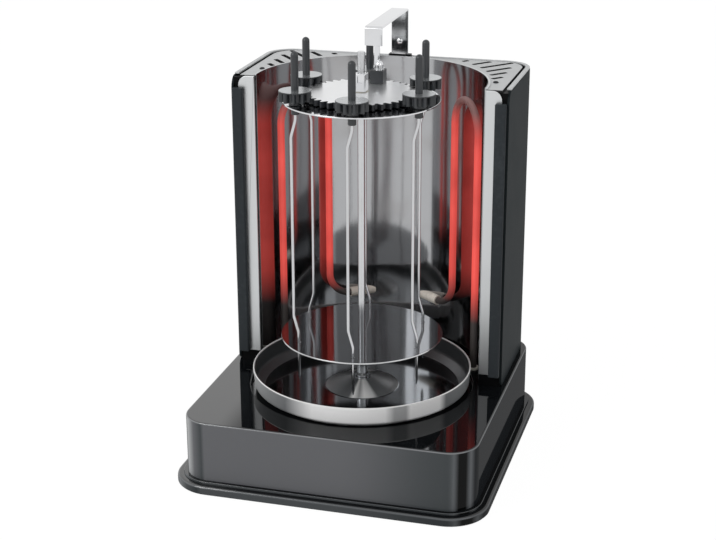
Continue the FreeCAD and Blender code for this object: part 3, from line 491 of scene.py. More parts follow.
class Wire:
    """A number in a shader: its operators add Math nodes."""

    def __init__(self, shader: "Shader", socket: bpy.types.NodeSocket) -> None:
        """Wrap one output socket."""
        self.shader = shader
        self.socket = socket

    def math(self, operation: str, first: Any, second: Any) -> "Wire":
        """Result of one Math node."""
        made = self.shader.node("ShaderNodeMath", {"operation": operation}, {0: first, 1: second})
        return Wire(self.shader, made.outputs[0])

    def __add__(self, other: Any) -> "Wire":
        """Sum."""
        return self.math("ADD", self, other)

    __radd__ = __add__

    def __mul__(self, other: Any) -> "Wire":
        """Product."""
        return self.math("MULTIPLY", self, other)

    __rmul__ = __mul__

    def __sub__(self, other: Any) -> "Wire":
        """Difference."""
        return self.math("SUBTRACT", self, other)

    def __rsub__(self, other: Any) -> "Wire":
        """Difference, the other way round."""
        return self.math("SUBTRACT", other, self)

    def between(self, low: float, high: float) -> "Wire":
        """Share of the way from low to high, held to 0 and 1 and eased at both ends."""
        made = self.shader.node("ShaderNodeMapRange", {"interpolation_type": "SMOOTHSTEP"},
                                {0: self, 1: low, 2: high, 3: 0.0, 4: 1.0})
        return Wire(self.shader, made.outputs[0])


class Shader:
    """Node tree of one material or of the surroundings."""

    def __init__(self, owner: bpy.types.Material | bpy.types.World) -> None:
        """Empty the owner's tree.

        Args:
            owner: What the tree belongs to.
        """
        self.owner = owner
        owner.use_nodes = True
        self.tree = owner.node_tree
        self.tree.nodes.clear()

    def node(self, kind: str, settings: dict[str, Any] | None = None,
             sockets: Sockets | None = None) -> bpy.types.Node:
        """Add one node.

        Args:
            kind: Node type.
            settings: Properties, set before the sockets; "stops" are a ramp's places and colours.
            sockets: Values, sockets or wires by input name or number.

        Returns:
            The node.
        """
        made = self.tree.nodes.new(kind)
        for key, value in (settings or {}).items():
            if key == "stops":
                elements = made.color_ramp.elements
                while len(elements) < len(value):
                    elements.new(1.0)
                for element, (place, colour) in zip(elements, value):
                    element.position = place
                    element.color = colour
            else:
                setattr(made, key, value)
        for key, value in (sockets or {}).items():
            source = value.socket if isinstance(value, Wire) else value
            if isinstance(source, bpy.types.NodeSocket):
                self.tree.links.new(source, made.inputs[key])
            else:
                made.inputs[key].default_value = source
        return made

    def part(self, vector: bpy.types.NodeSocket, letter: str) -> Wire:
        """One of the three numbers of a vector."""
        return Wire(self, self.node("ShaderNodeSeparateXYZ", sockets={0: vector}).outputs[letter])

    def axis(self, letter: str) -> Wire:
        """One object coordinate, in metres."""
        return self.part(self.node("ShaderNodeTexCoord").outputs["Object"], letter)

    def facing(self, letter: str) -> Wire:
        """One part of the surface's own direction, from the Normal of the geometry."""
        return self.part(self.node("ShaderNodeNewGeometry").outputs["Normal"], letter)

    def noise(self, scale: float, stretch: Sequence[float] = (1, 1, 1), detail: float = 2) -> Wire:
        """Cloudy pattern from 0 to 1 on the object coordinates.

        Args:
            scale: Size of the pattern, per metre.
            stretch: Factors of the coordinates along the axes.
            detail: Number of finer layers.

        Returns:
            The pattern.
        """
        source = self.node("ShaderNodeTexCoord").outputs["Object"]
        place = self.node("ShaderNodeMapping", sockets={"Vector": source, "Scale": stretch})
        made = self.node("ShaderNodeTexNoise", sockets={
            "Vector": place.outputs[0], "Scale": scale, "Detail": detail, "Roughness": 0.55})
        return Wire(self, made.outputs[0])

    def ramp(self, share: Wire, *stops: tuple[float, str]) -> bpy.types.NodeSocket:
        """Colour at a share between stops, each a place and a display colour."""
        placed = [(place, linear(code)) for place, code in stops]
        return self.node("ShaderNodeValToRGB", {"stops": placed}, {0: share}).outputs[0]

    def mix(self, share: Any, first: Any, second: Any) -> bpy.types.NodeSocket:
        """Colour between two colours."""
        made = self.node("ShaderNodeMix", {"data_type": "RGBA"}, {0: share, 6: first, 7: second})
        return made.outputs[2]

    def relief(self, height: Wire, depth: float, strength: float = 1.0,
               under: bpy.types.NodeSocket | None = None) -> bpy.types.NodeSocket:
        """Surface direction disturbed by a height pattern.

        Args:
            height: Pattern from 0 to 1.
            depth: Height of the pattern, in metres.
            strength: Share of the effect.
            under: Direction that this one adds to.

        Returns:
            The Normal output of a Bump node.
        """
        sockets: Sockets = {"Height": height, "Distance": depth, "Strength": strength}
        if under is not None:
            sockets["Normal"] = under
        return self.node("ShaderNodeBump", sockets=sockets).outputs[0]


# ---------------------------------------------------------------- finishes

# Upward parts of a direction between which a wall becomes a level face, and the tone of worn metal.
LEVEL = (0.955, 0.985)
WORN = 0.8


class Look(Enum):
    """Finishes by name: the record's material slots, then kinds of them."""

    GLOSS_BLACK = "gloss_black"
    FOOT_RUBBER = "foot_rubber"
    ZINC_STEEL = "zinc_steel"
    DARK_SCREW = "dark_screw"
    MOTOR_CAN = "motor_can"
    NYLON = "nylon"
    CASE_PAINT = "case_paint"
    SILVER_TRIM = "silver_trim"
    BAR_PLASTIC = "bar_plastic"
    FRAME_PAINT = "frame_paint"
    MIRROR_STEEL = "mirror_steel"
    COVER_GREY = "cover_grey"
    TRAY_STEEL = "tray_steel"
    TUBE_RED = "tube_red"
    CERAMIC = "ceramic"
    CHROME = "chrome"
    ROD_STEEL = "rod_steel"
    GRIP_PLASTIC = "grip_plastic"
    SWITCH_PLASTIC = "switch_plastic"
    BLOCK_PLASTIC = "block_plastic"
    CUTOUT_METAL = "cutout_metal"
    PLINTH_BLACK = "plinth_black"
    DARK_MIRROR = "dark_mirror"
    GEAR_FACE = "gear_face"
    VENTED_GREY = "vented_grey"

    @property
    def slot(self) -> str:
        """The record's material slot: the look's own, or that of the look that it is a kind of."""
        kinds = {Look.PLINTH_BLACK: Look.GLOSS_BLACK, Look.DARK_MIRROR: Look.CHROME,
                 Look.GEAR_FACE: Look.CHROME, Look.VENTED_GREY: Look.COVER_GREY}
        return kinds.get(self, self).value


class Grain(Enum):
    """Direction in which a sheet was brushed: the stretch of its pattern along the axes."""

    UPRIGHT = (1, 1, 0.02)
    NONE = (1, 1, 1)


class Finish:
    """A finish: what it gives the inputs of a Principled shader."""

    def sockets(self, shader: Shader) -> Sockets:
        """Inputs of the Principled shader, each a number, a colour or a wire.

        Args:
            shader: Node tree that the wires run in.

        Returns:
            Inputs by name.
        """
        raise NotImplementedError

    def material(self, name: str) -> bpy.types.Material:
        """Material of this finish.

        Args:
            name: Its name.

        Returns:
            The material, with its whole node tree.
        """
        shader = Shader(bpy.data.materials.new(name))
        end = shader.node("ShaderNodeBsdfPrincipled", sockets=self.sockets(shader))
        shader.node("ShaderNodeOutputMaterial", sockets={"Surface": end.outputs[0]})
        return shader.owner


@dataclass(frozen=True)
class Moulded(Finish):
    """Moulded plastic, from satin to high gloss, with faint flow marks and fine dust.

    Attributes:
        colour: Display colour, six hexadecimal digits.
        gloss: Roughness of the clean surface.
        shine: Specular level.
        texture: Depth of the moulded grain, in metres.
        grain: Scale of that grain, per metre.
    """

    colour: str
    gloss: float = 0.3
    shine: float = 0.4
    texture: float = 0.00002
    grain: float = 1400

    def sockets(self, shader: Shader) -> Sockets:
        """Base colour and roughness from two noises, grain as a bump.

        Args:
            shader: Node tree that the wires run in.

        Returns:
            Inputs by name.
        """
        flow, dust = shader.noise(scale=9, detail=3), shader.noise(scale=260, detail=4)
        marks = (flow * 0.5 + dust * 0.5).between(low=0.45, high=0.75)
        base = linear(self.colour)
        return {
            "Base Color": shader.mix(marks, base, toned(base, gain=1.35, lift=0.004)),
            "Roughness": self.gloss + dust.between(low=0.5, high=0.8) * 0.07,
            "Normal": shader.relief(shader.noise(self.grain), self.texture, strength=0.5),
            "Specular IOR Level": self.shine}


@dataclass(frozen=True)
class GlossCase(Finish):
    """Black moulding with a high-gloss top and painted light and shade on its walls: a lighter
    front, darker sides, painted highlights and reflection stripes at the corners, a painted shade
    towards the front's right end and painted highlights along the edges.

    Attributes:
        front: Display colour of the front, lighter than the sides as painted light.
        shade: Display colour of the front towards its right end, a painted shade.
        lit: Display colour of the left corner, a painted highlight.
        stripe: Display colour of the light stripes beside the right corner, painted reflections.
        edge: Display colour of the painted highlight along the rounded edges.
        top: Display colour of the top.
        side: Display colour of the sides and the back, darker than the front as painted shade.
        dark: Display colour between the light stripes, a painted dark reflection.
        fading: Places along X between which the front turns to its painted shade, in metres.
        thick: Distances to the left between which the top's coat thickens, which paints a stronger
            reflection there, in metres.
    """

    front: str
    shade: str
    lit: str
    stripe: str
    edge: str
    top: str = "0f1113"
    side: str = "1b1e21"
    dark: str = "040505"
    fading: Pair = (0.01, 0.12)
    thick: Pair = (0.07, 0.105)

    def sockets(self, shader: Shader) -> Sockets:
        """Colour follows the way a wall faces as painted light and shade, gloss and coat the way it
        looks up.

        The ramp runs from a wall that faces left, over the front, to one that faces right, and
        paints light and shade by that direction. The coat is thickest on the left strip of the top,
        which paints a stronger reflection there.

        Args:
            shader: Node tree that the wires run in.

        Returns:
            Inputs by name.
        """
        level = shader.facing("Z").between(low=0.2, high=0.95)
        ahead = 0 - shader.facing("Y")
        across = shader.axis("X")
        thick = (0 - across).between(*self.thick)
        # Painted light and shade by facing: a highlight on the left corner, light reflection
        # stripes and a dark band beside the right corner, darker sides and back.
        painted_wall_shading = shader.ramp(
            shader.facing("X") * 0.5 + 0.5,
            (0.0, self.side), (0.04, self.side), (0.11, self.lit), (0.25, self.front),
            (0.40, self.shade), (0.46, self.front), (0.54, self.front), (0.62, self.stripe),
            (0.68, self.stripe), (0.76, self.dark), (0.86, self.dark), (0.92, self.stripe),
            (0.97, self.side), (1.0, self.side))
        # Painted shade: the front darkens towards its right end.
        far = across.between(*self.fading) * ahead.between(low=0.9, high=0.99)
        front = shader.mix(far, painted_wall_shading, linear(self.shade))
        wall = shader.mix(ahead.between(low=-0.1, high=0.1), linear(self.side), front)
        flat = shader.mix(level, wall, linear(self.top))
        waves = shader.noise(scale=7, detail=1) + shader.noise(scale=320, detail=4) * 0.004
        return {
            # Painted highlight: where a wall rounds into the top, the colour turns to the edge
            # colour.
            "Base Color": shader.mix(level * (1 - level) * 3.2, flat, linear(self.edge)),
            "Roughness": 0.4 - level * 0.3,
            "Specular IOR Level": 0.0,
            # Thicker coat on the left strip of the top: a painted stronger reflection.
            "Coat Weight": level * (thick * 0.6 + 0.3) + 0.1,
            "Coat Roughness": 0.03,
            "Coat IOR": 1.9,
            "Normal": shader.relief(waves, depth=0.0006, strength=0.12)}


@dataclass(frozen=True)
class Metal(Finish):
    """Bare, plated or brushed sheet metal.

    Attributes:
        colour: Display colour of the clean metal.
        polish: Roughness.
        grain: Brushing direction.
        brush: Depth of the brushing, in metres.
        ripple: Depth of the slow waves of thin sheet, in metres.
        stain: Display colour of the faint heat and handling marks.
    """

    colour: str
    polish: float = 0.15
    grain: Grain = Grain.NONE
    brush: float = 0.000004
    ripple: float = 0.0
    stain: str = "8a8684"

    def sockets(self, shader: Shader) -> Sockets:
        """Marks in colour and roughness from noise, brushing and ripple as bumps.

        Args:
            shader: Node tree that the wires run in.

        Returns:
            Inputs by name.
        """
        marks = shader.noise(scale=14, detail=4).between(low=0.5, high=0.85)
        lines = shader.noise(scale=900, stretch=self.grain.value, detail=3)
        normal = shader.relief(lines, self.brush, strength=0.6)
        if self.ripple:
            waves = shader.noise(scale=11, stretch=(1, 1, 0.45), detail=1)
            normal = shader.relief(waves, self.ripple, under=normal)
        return {
            "Base Color": shader.mix(marks * 0.35, linear(self.colour), linear(self.stain)),
            "Metallic": 1.0,
            "Roughness": self.polish + marks * 0.06 + lines * 0.03,
            "Normal": normal}


@dataclass(frozen=True)
class TwoFaced(Finish):
    """Piece whose level faces have another finish than its walls, used to paint light and shade
    onto one material, as noted at each finish.

    Attributes:
        level: Display colour of the faces that look up.
        wall: Display colour of the others.
        polish: Roughness of the level faces and of the others.
        metal: Share of metal in the level faces and in the others.
        below: Height under which a level face has the level finish, in metres.
        ripple: Depth of the slow waves of thin sheet, in metres.
    """

    level: str
    wall: str
    polish: Pair
    metal: Pair
    below: float = 1.0
    ripple: float = 0.0002

    def sockets(self, shader: Shader) -> Sockets:
        """Both finishes mixed by how far the surface faces up, with handling marks and brushing.

        Args:
            shader: Node tree that the wires run in.

        Returns:
            Inputs by name.
        """
        over = shader.axis("Z").between(self.below, self.below + MM)
        share = shader.facing("Z").between(*LEVEL) * (1 - over)
        marks = shader.noise(scale=16, detail=4).between(low=0.45, high=0.85)
        level = linear(self.level)
        used = shader.mix(marks * 0.5, level, toned(level, WORN))
        lines = shader.relief(shader.noise(scale=900, detail=3), depth=0.000004, strength=0.6)
        (shiny, rough), (rich, poor) = self.polish, self.metal
        return {
            "Base Color": shader.mix(share, linear(self.wall), used),
            "Metallic": share * (rich - poor) + poor if rich != poor else rich,
            "Roughness": share * (shiny - rough) + rough + marks * 0.05,
            "Normal": shader.relief(shader.noise(scale=12, detail=1), self.ripple, under=lines)}


@dataclass(frozen=True)
class Spun(Finish):
    """Spun steel dish with painted reflections: a dull floor, an inner wall darkened as a painted
    dark reflection, an outer wall in bands of painted reflection, a painted highlight on the rim
    and painted highlights on the raised middle.

    Attributes:
        cone: Painted highlights and shades of the raised middle, from facing left at 0 to facing
            right at 1.
        bands: Painted reflection bands of the outer wall, from its left limb at 0 to its right one
            at 1.
        floor: Display colour of the floor.
        inner: Display colour of the wall's inner face, darkened as a painted dark reflection.
        edge: Display colour of the rim, a painted highlight.
        radius: Radius of the dish, in metres.
        rim: Height of its rim, in metres.
        axis_y: Place of its axis, in metres.
        middle: Squares of the radii between which the raised middle ends, in square metres.
        across: Direction along which the painted reflection bands follow each other.
    """

    cone: tuple[tuple[float, str], ...]
    bands: tuple[tuple[float, str], ...]
    floor: str = "5b5e61"
    inner: str = "4a4d4f"
    edge: str = "f6f6f5"
    radius: float = 0.106
    rim: float = 0.087
    axis_y: float = -0.008
    middle: Pair = (0.0024, 0.0026)
    across: Pair = (0.962, 0.275)

    def sockets(self, shader: Shader) -> Sockets:
        """Finish chosen by how far the surface faces up and by whether it faces off the axis; the
        walls get painted reflections and highlights.

        Args:
            shader: Node tree that the wires run in.

        Returns:
            Inputs by name.
        """
        x, y = shader.axis("X"), shader.axis("Y") - self.axis_y
        aim_x, aim_y = shader.facing("X"), shader.facing("Y")
        rim = shader.axis("Z").between(self.rim - 1.2 * MM, self.rim - 0.6 * MM)
        level = shader.facing("Z").between(*LEVEL) * (1 - rim)
        away = (aim_x * x + aim_y * y).between(low=-0.004, high=0.004)
        middle = 1 - (x * x + y * y).between(*self.middle)
        place = (x * self.across[0] + y * self.across[1]) * (0.5 / self.radius) + 0.5
        aim = aim_x * self.across[0] + aim_y * self.across[1] + 0.5
        # Painted reflection: bands along the outer wall and a darker inner face.
        wall = shader.mix(away, linear(self.inner), shader.ramp(place, *self.bands))
        # Painted highlights: a bright rim, and light and dark shades on the raised middle by its
        # facing.
        wall = shader.mix(middle, shader.mix(rim, wall, linear(self.edge)),
                          shader.ramp(aim, *self.cone))
        marks = shader.noise(scale=16, detail=4).between(low=0.45, high=0.85)
        floor = linear(self.floor)
        used = shader.mix(marks * 0.5, floor, toned(floor, WORN))
        return {
            "Base Color": shader.mix(level, wall, used),
            "Metallic": level,
            "Roughness": 0.35 - level * 0.25 + marks * 0.05,
            "Normal": shader.relief(shader.noise(scale=12, detail=1), depth=0.0002)}


@dataclass(frozen=True)
class Painted(Finish):
    """Powder or stove paint on sheet metal.

    Attributes:
        colour: Display colour.
        sheen: Roughness.
        shine: Specular level.
        metal: Share of metal flake.
        orange_peel: Depth of the paint's waves, in metres.
    """

    colour: str
    sheen: float
    shine: float = 0.3
    metal: float = 0.0
    orange_peel: float = 0.00003

    def sockets(self, shader: Shader) -> Sockets:
        """Faint mottling in colour, orange peel as a bump.

        Args:
            shader: Node tree that the wires run in.

        Returns:
            Inputs by name.
        """
        cloud = shader.noise(scale=22, detail=3).between(low=0.35, high=0.8)
        base = linear(self.colour)
        return {
            "Base Color": shader.mix(cloud, base, toned(base, gain=1.18, lift=0.003)),
            "Metallic": self.metal,
            "Roughness": self.sheen + cloud * 0.05,
            "Specular IOR Level": self.shine,
            "Normal": shader.relief(shader.noise(scale=650), self.orange_peel, strength=0.5)}


@dataclass(frozen=True)
class Glowing(Finish):
    """Red-hot sheathed tube: bright along its legs, duller at its crown and at its bushes.

    Attributes:
        hot: Display colour of the hottest part.
        dull: Display colour of the crown.
        cold: Display colour of the ends.
        faint: Display colour of the crown's glow.
        low: Height below which the tube is cold, in metres.
        high: Height of the crown, in metres.
        stops: Shares of that height where the four shades stand.
        power: Strength of the glow.
    """

    hot: str = "d04a43"
    dull: str = "8d6b68"
    cold: str = "4a4543"
    faint: str = "3a1614"
    low: float = 0.118
    high: float = 0.335
    stops: tuple[float, ...] = (0.0, 0.16, 0.86, 0.97)
    power: float = 0.85

    def sockets(self, shader: Shader) -> Sockets:
        """Colour and glow follow the height through a ramp, with a slow patchiness.

        Args:
            shader: Node tree that the wires run in.

        Returns:
            Inputs by name.
        """
        share = (shader.axis("Z") - self.low) * (1 / (self.high - self.low))
        patch = shader.noise(scale=26).between(low=0.3, high=0.7)
        shades = zip(self.stops, (self.cold, self.hot, self.hot, self.dull))
        glows = zip(self.stops, ("000000", self.hot, self.hot, self.faint))
        return {
            "Base Color": shader.ramp(share, *shades),
            "Roughness": 0.4 + patch * 0.1,
            "Emission Color": shader.mix(patch * 0.35, shader.ramp(share, *glows), (0, 0, 0, 1)),
            "Emission Strength": self.power,
            "Normal": shader.relief(shader.noise(scale=700), depth=0.00002, strength=0.5)}


# Painted highlights of the tray's raised middle and painted reflection bands of its outer wall.
TRAY_CONE_HIGHLIGHTS = (
    (0.1, "8a8c8e"), (0.3, "5c5e60"), (0.38, "5c5e60"), (0.42, "f0f0ef"), (0.47, "a2a3a4"),
    (0.52, "f4f4f3"), (0.6, "dcdddd"), (0.64, "6a6c6e"), (0.9, "8a8c8e"))
TRAY_WALL_REFLECTIONS = (
    (0.0, "b2b4b5"), (0.08, "909293"), (0.16, "7c7e80"), (0.2, "b4b5b6"), (0.28, "ffffff"),
    (0.6, "ffffff"), (0.64, "b2b3b4"), (0.69, "b2b3b4"), (0.71, "ffffff"), (0.84, "ffffff"),
    (0.87, "7c7e80"), (1.0, "8a8c8e"))

FINISHES: dict[Look, Finish] = {
    # Both gloss blacks carry painted light and shade on their walls and painted highlights on their
    # edges.
    Look.GLOSS_BLACK: GlossCase(
        front="66676a", shade="44484a", lit="b4b6b7", stripe="6a6d70", edge="8f9193"),
    Look.PLINTH_BLACK: GlossCase(
        front="484b4d", shade="303436", lit="7c7f81", stripe="55585a", edge="64676a"),
    Look.FOOT_RUBBER: Moulded("1b1b1c", gloss=0.75, texture=0.00005, grain=900),
    Look.ZINC_STEEL: Metal("b4b6b8", polish=0.35, stain="8f8a78"),
    Look.DARK_SCREW: Metal("3b3c3e", polish=0.35, stain="222222"),
    Look.MOTOR_CAN: Metal("a9abad", polish=0.4, grain=Grain.UPRIGHT, stain="77736a"),
    Look.NYLON: Moulded("d8d4c8", gloss=0.4),
    Look.CASE_PAINT: Painted("23282a", sheen=0.45, shine=0.01),
    Look.SILVER_TRIM: Metal("c9cbcc", polish=0.34, grain=Grain.UPRIGHT, brush=0.000006,
                            stain="b9bbbd"),
    Look.BAR_PLASTIC: Moulded("34383b", gloss=0.42, shine=0.05),
    Look.FRAME_PAINT: Painted("0c0d0e", sheen=0.4, shine=0.05),
    Look.MIRROR_STEEL: Metal("a9aaac", polish=0.08, ripple=0.0012, stain="8f8a86"),
    Look.COVER_GREY: Painted("c4c6c7", sheen=0.45, metal=0.15),
    Look.TRAY_STEEL: Spun(TRAY_CONE_HIGHLIGHTS, TRAY_WALL_REFLECTIONS),
    Look.TUBE_RED: Glowing(),
    Look.CERAMIC: Moulded("d9d5ca", gloss=0.55, texture=0.00004, grain=1100),
    Look.CHROME: Metal("d6d7d9", polish=0.07, stain="c2c0be"),
    Look.ROD_STEEL: Metal("c9cacc", polish=0.16, grain=Grain.UPRIGHT, stain="a09a92"),
    # Dark grips whose level tops below the handles are light and metallic as a painted highlight.
    Look.GRIP_PLASTIC: TwoFaced("aeb1b3", "2e3134", polish=(0.25, 0.35), metal=(0.8, 0.0),
                                below=0.367),
    Look.SWITCH_PLASTIC: Moulded("18191a", gloss=0.35),
    Look.BLOCK_PLASTIC: Moulded("e4e0d6", gloss=0.5),
    Look.CUTOUT_METAL: Metal("b9bbbd", polish=0.3),
    # Chrome lower disc whose top is darkened as a painted dark reflection; its rim keeps the bright
    # chrome colour.
    Look.DARK_MIRROR: TwoFaced("56585b", "c9cacb", polish=(0.05, 0.2), metal=(1.0, 1.0)),
    # Grey covers whose vent walls and edges are near black as painted shade.
    Look.VENTED_GREY: TwoFaced("c4c6c7", "1a1b1d", polish=(0.45, 0.6), metal=(0.15, 0.0),
                               ripple=0.00005),
    # Painted light and shade on the chrome sun gear: a bright lit top and dark tooth flanks in
    # painted shade.
    Look.GEAR_FACE: TwoFaced("e6e7e8", "24262a", polish=(0.28, 0.35), metal=(0.9, 0.2)),
}


@cache
def material_of(look: Look) -> bpy.types.Material:
    """Material of a look, made when it is first asked for."""
    return FINISHES[look].material(look.value)


def dress(look: Look, *nodes: str) -> None:
    """Give carried-over nodes the material of their look.

    Args:
        look: Finish.
        *nodes: Names of the nodes.
    """
    for name in nodes:
        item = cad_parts[name]
        item.data.materials.clear()
        item.data.materials.append(material_of(look))


def spans(node: str) -> tuple[Pair, Pair, Pair]:
    """Lowest and highest place of a node along X, Y and Z, in millimetres."""
    low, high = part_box(node)
    return tuple((low[i] / MM, high[i] / MM) for i in range(3))


# ---------------------------------------------------------------- sub-assemblies

AXIS = (0.0, -8.0)
BAY = (0.0, 20.0)
TOOTH = Tooth()

# A cutter stands this far out of what it cuts, and an arc is divided this finely, in degrees.
THROUGH = 1.0
FINE = 6


@dataclass
class Assembly:
    """A named group of pieces.

    Attributes:
        title: Its name.
        body: Body that its pieces ride on.
        crease: Angle past which an edge stays sharp, in degrees.
        pieces: Pieces finished so far.
    """

    title: ClassVar[str]
    body: ClassVar[str] = "housing"
    crease: ClassVar[float] = 35
    pieces: list[bpy.types.Object] = field(default_factory=list, init=False)

    def finish(self, item: bpy.types.Object, look: Look, *nodes: str,
               body: str | None = None) -> None:
        """Shade a piece, dress it, hand it to its body and report it.

        Args:
            item: Piece in its place.
            look: Finish.
            *nodes: Nodes that it stands for.
            body: Body that it rides on, where that isn't the group's.
        """
        mesh, body = item.data, body or self.body
        mesh.materials.clear()
        mesh.materials.append(material_of(look))
        mesh.shade_smooth()
        mesh.set_sharp_from_angle(angle=math.radians(self.crease))
        evening = item.modifiers.new("even_faces", "WEIGHTED_NORMAL")
        evening.keep_sharp = True
        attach(item, body)
        if nodes:
            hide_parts(*nodes)
        self.pieces.append(item)
        log.info("%s: %s, %d faces", self.title, item.name, len(mesh.polygons))

    def twins(self, right: Shell, label: str, look: Look, node: str,
              holes: Shell | None = None) -> None:
        """Make a right piece and its mirrored twin on the left.

        Args:
            right: Right piece.
            label: Name of the pieces without their side.
            look: Finish.
            node: Name of the nodes without their side.
            holes: What is cut out of the right piece.
        """
        for side in ("right", "left"):
            piece = (right if side == "right" else right.mirrored()).solid(f"{label}_{side}")
            if holes:
                cut(piece, holes if side == "right" else holes.mirrored())
            self.finish(piece, look, f"{node}_{side}")


@dataclass
class BaseUnit(Assembly):
    """Gloss base with the tray's well, and the stepped plinth below it.

    Attributes:
        corner: Radius of the base's upright corners.
        edge: Radius round its top.
        skirt: Level of its lower edge.
        band: Height of the band of faces under the edge of its top.
        longest: Length past which a run of its outline is divided.
        parts: Number of parts of such a run.
        wall: Wall thickness.
        well: Radius of the tray's well.
        sink: Depth of the well.
        ease: Width of the slope between the well's wall and its floor.
        bore: Radius of the openings for the bearing and for the cord's gland.
        leg_hole: Radius of the openings for the tubes' front legs.
        leg: Place of the right one.
        leg_span: Levels between which they are cut.
        lap: Width of the switch's frame that stays in front of the wall.
        lip: Width by which the plinth stands out past the base.
        step: Distance from the plinth's outline in to its small step.
    """

    title: ClassVar[str] = "base"
    corner: float = 28
    edge: float = 2
    skirt: float = 11
    band: float = 12
    longest: float = 60
    parts: int = 8
    wall: float = 2.5
    well: float = 108.5
    sink: float = 5
    ease: float = 0.6
    bore: float = 7.05
    leg_hole: float = 5.05
    leg: Pair = (98.393, 50.458)
    leg_span: Pair = (60, 71)
    lap: float = 1.5
    lip: float = 10
    step: float = 6

    def shell(self) -> None:
        """Outer wall, top, well and inner wall as one closed ring of rings.

        Each ring is either the rounded rectangle moved in by an offset or a circle about the
        tray's axis, sampled at the same angles, and the grid joins ring to ring.
        """
        x, y, z = spans("base_shell")
        top, under, floor = z[1], z[1] - self.wall, z[1] - self.sink
        rim = divided(box_outline(x, y, self.corner, FINE), self.longest, self.parts)
        ring = partial(ring_like, rim, AXIS)
        outside = [(-self.wall, self.skirt), (0, self.skirt), (0, top - self.edge - self.band),
                   *fillet(self.edge, 0, top, 7)]
        lip = [(self.well - offset, top + level) for offset, level in fillet(1.2, 0, 0, 4)[::-1]]
        well = [*lip, (self.well, floor + self.ease), (self.well - self.ease, floor),
                (self.bore, floor), (self.bore, floor - self.wall),
                (self.well + self.wall, floor - self.wall), (self.well + self.wall, under)]
        rings = [*np.moveaxis(carried(rim, outside), 1, 0), *(ring(*point) for point in well),
                 carried(rim, [(-self.wall, under)])[:, 0]]
        piece = Shell().add(np.stack(rings, 1), (True, True)).solid("base_top_shell")
        cut(piece, self.openings(x, y))
        self.finish(piece, Look.GLOSS_BLACK, "base_shell")

    def openings(self, x: Pair, y: Pair) -> Shell:
        """Cutters for the tubes' legs, the switch in the left wall and the gland in the rear one.

        Args:
            x: Base's lowest and highest place along X.
            y: The same along Y.

        Returns:
            Closed shells.
        """
        holes = Shell()
        for side in (-1, 1):
            section = [(self.leg_hole, level) for level in self.leg_span]
            holes.add(turned(section, side * self.leg[0], self.leg[1], 24), caps=True)
        frame_y, frame_z = spans("switch_frame")[1:]
        window = box_outline((x[0] - THROUGH, x[0] + 4), grown(frame_y, -self.lap), 0.1)
        holes.slab(window, *grown(frame_z, -self.lap), 0.05)
        gland_x, _, gland_z = spans("cable_gland")
        gland = circle(self.bore, sum(gland_x) / 2, sum(gland_z) / 2, 24)
        return holes.add(carried(gland, [(0, y[1] - 4), (0, y[1] + THROUGH)]), caps=True,
                         facing=Facing.FRONT)

    def plinth(self) -> None:
        """Plinth: a low band with a rounded edge, a ledge, a small step up, and a floor."""
        x, y, z = spans("plinth")
        rim = box_outline(x, y, self.corner + self.lip, FINE)
        inner, ledge = -self.lip - 2 * self.wall, z[1] - 2
        section = [(-1, z[0] - 1.5), (0, z[0] - 0.5), *fillet(3, 0, ledge, 6), (-self.step, ledge),
                   *fillet(0.6, -self.step - 0.2, z[1], 3), (inner, z[1]), (inner, z[0] + 3)]
        piece = Shell().add(carried(rim, section), caps=True).solid("base_plinth")
        self.finish(piece, Look.PLINTH_BLACK, "plinth")

    def build(self) -> None:
        """Make the shell and the plinth and dress what is fixed below them."""
        self.shell()
        self.plinth()
        dress(Look.FOOT_RUBBER, "rubber_feet")
        dress(Look.ZINC_STEEL, "base_screws", "motor_screws")
        dress(Look.MOTOR_CAN, "gear_motor")
        dress(Look.NYLON, "drive_bush", "sun_bearing")
        dress(Look.SWITCH_PLASTIC, "switch_frame", "rocker_key", "cable_gland")
        dress(Look.BLOCK_PLASTIC, "terminal_block")
        dress(Look.CUTOUT_METAL, "thermal_cutout")
        dress(Look.CHROME, "drive_spigot")


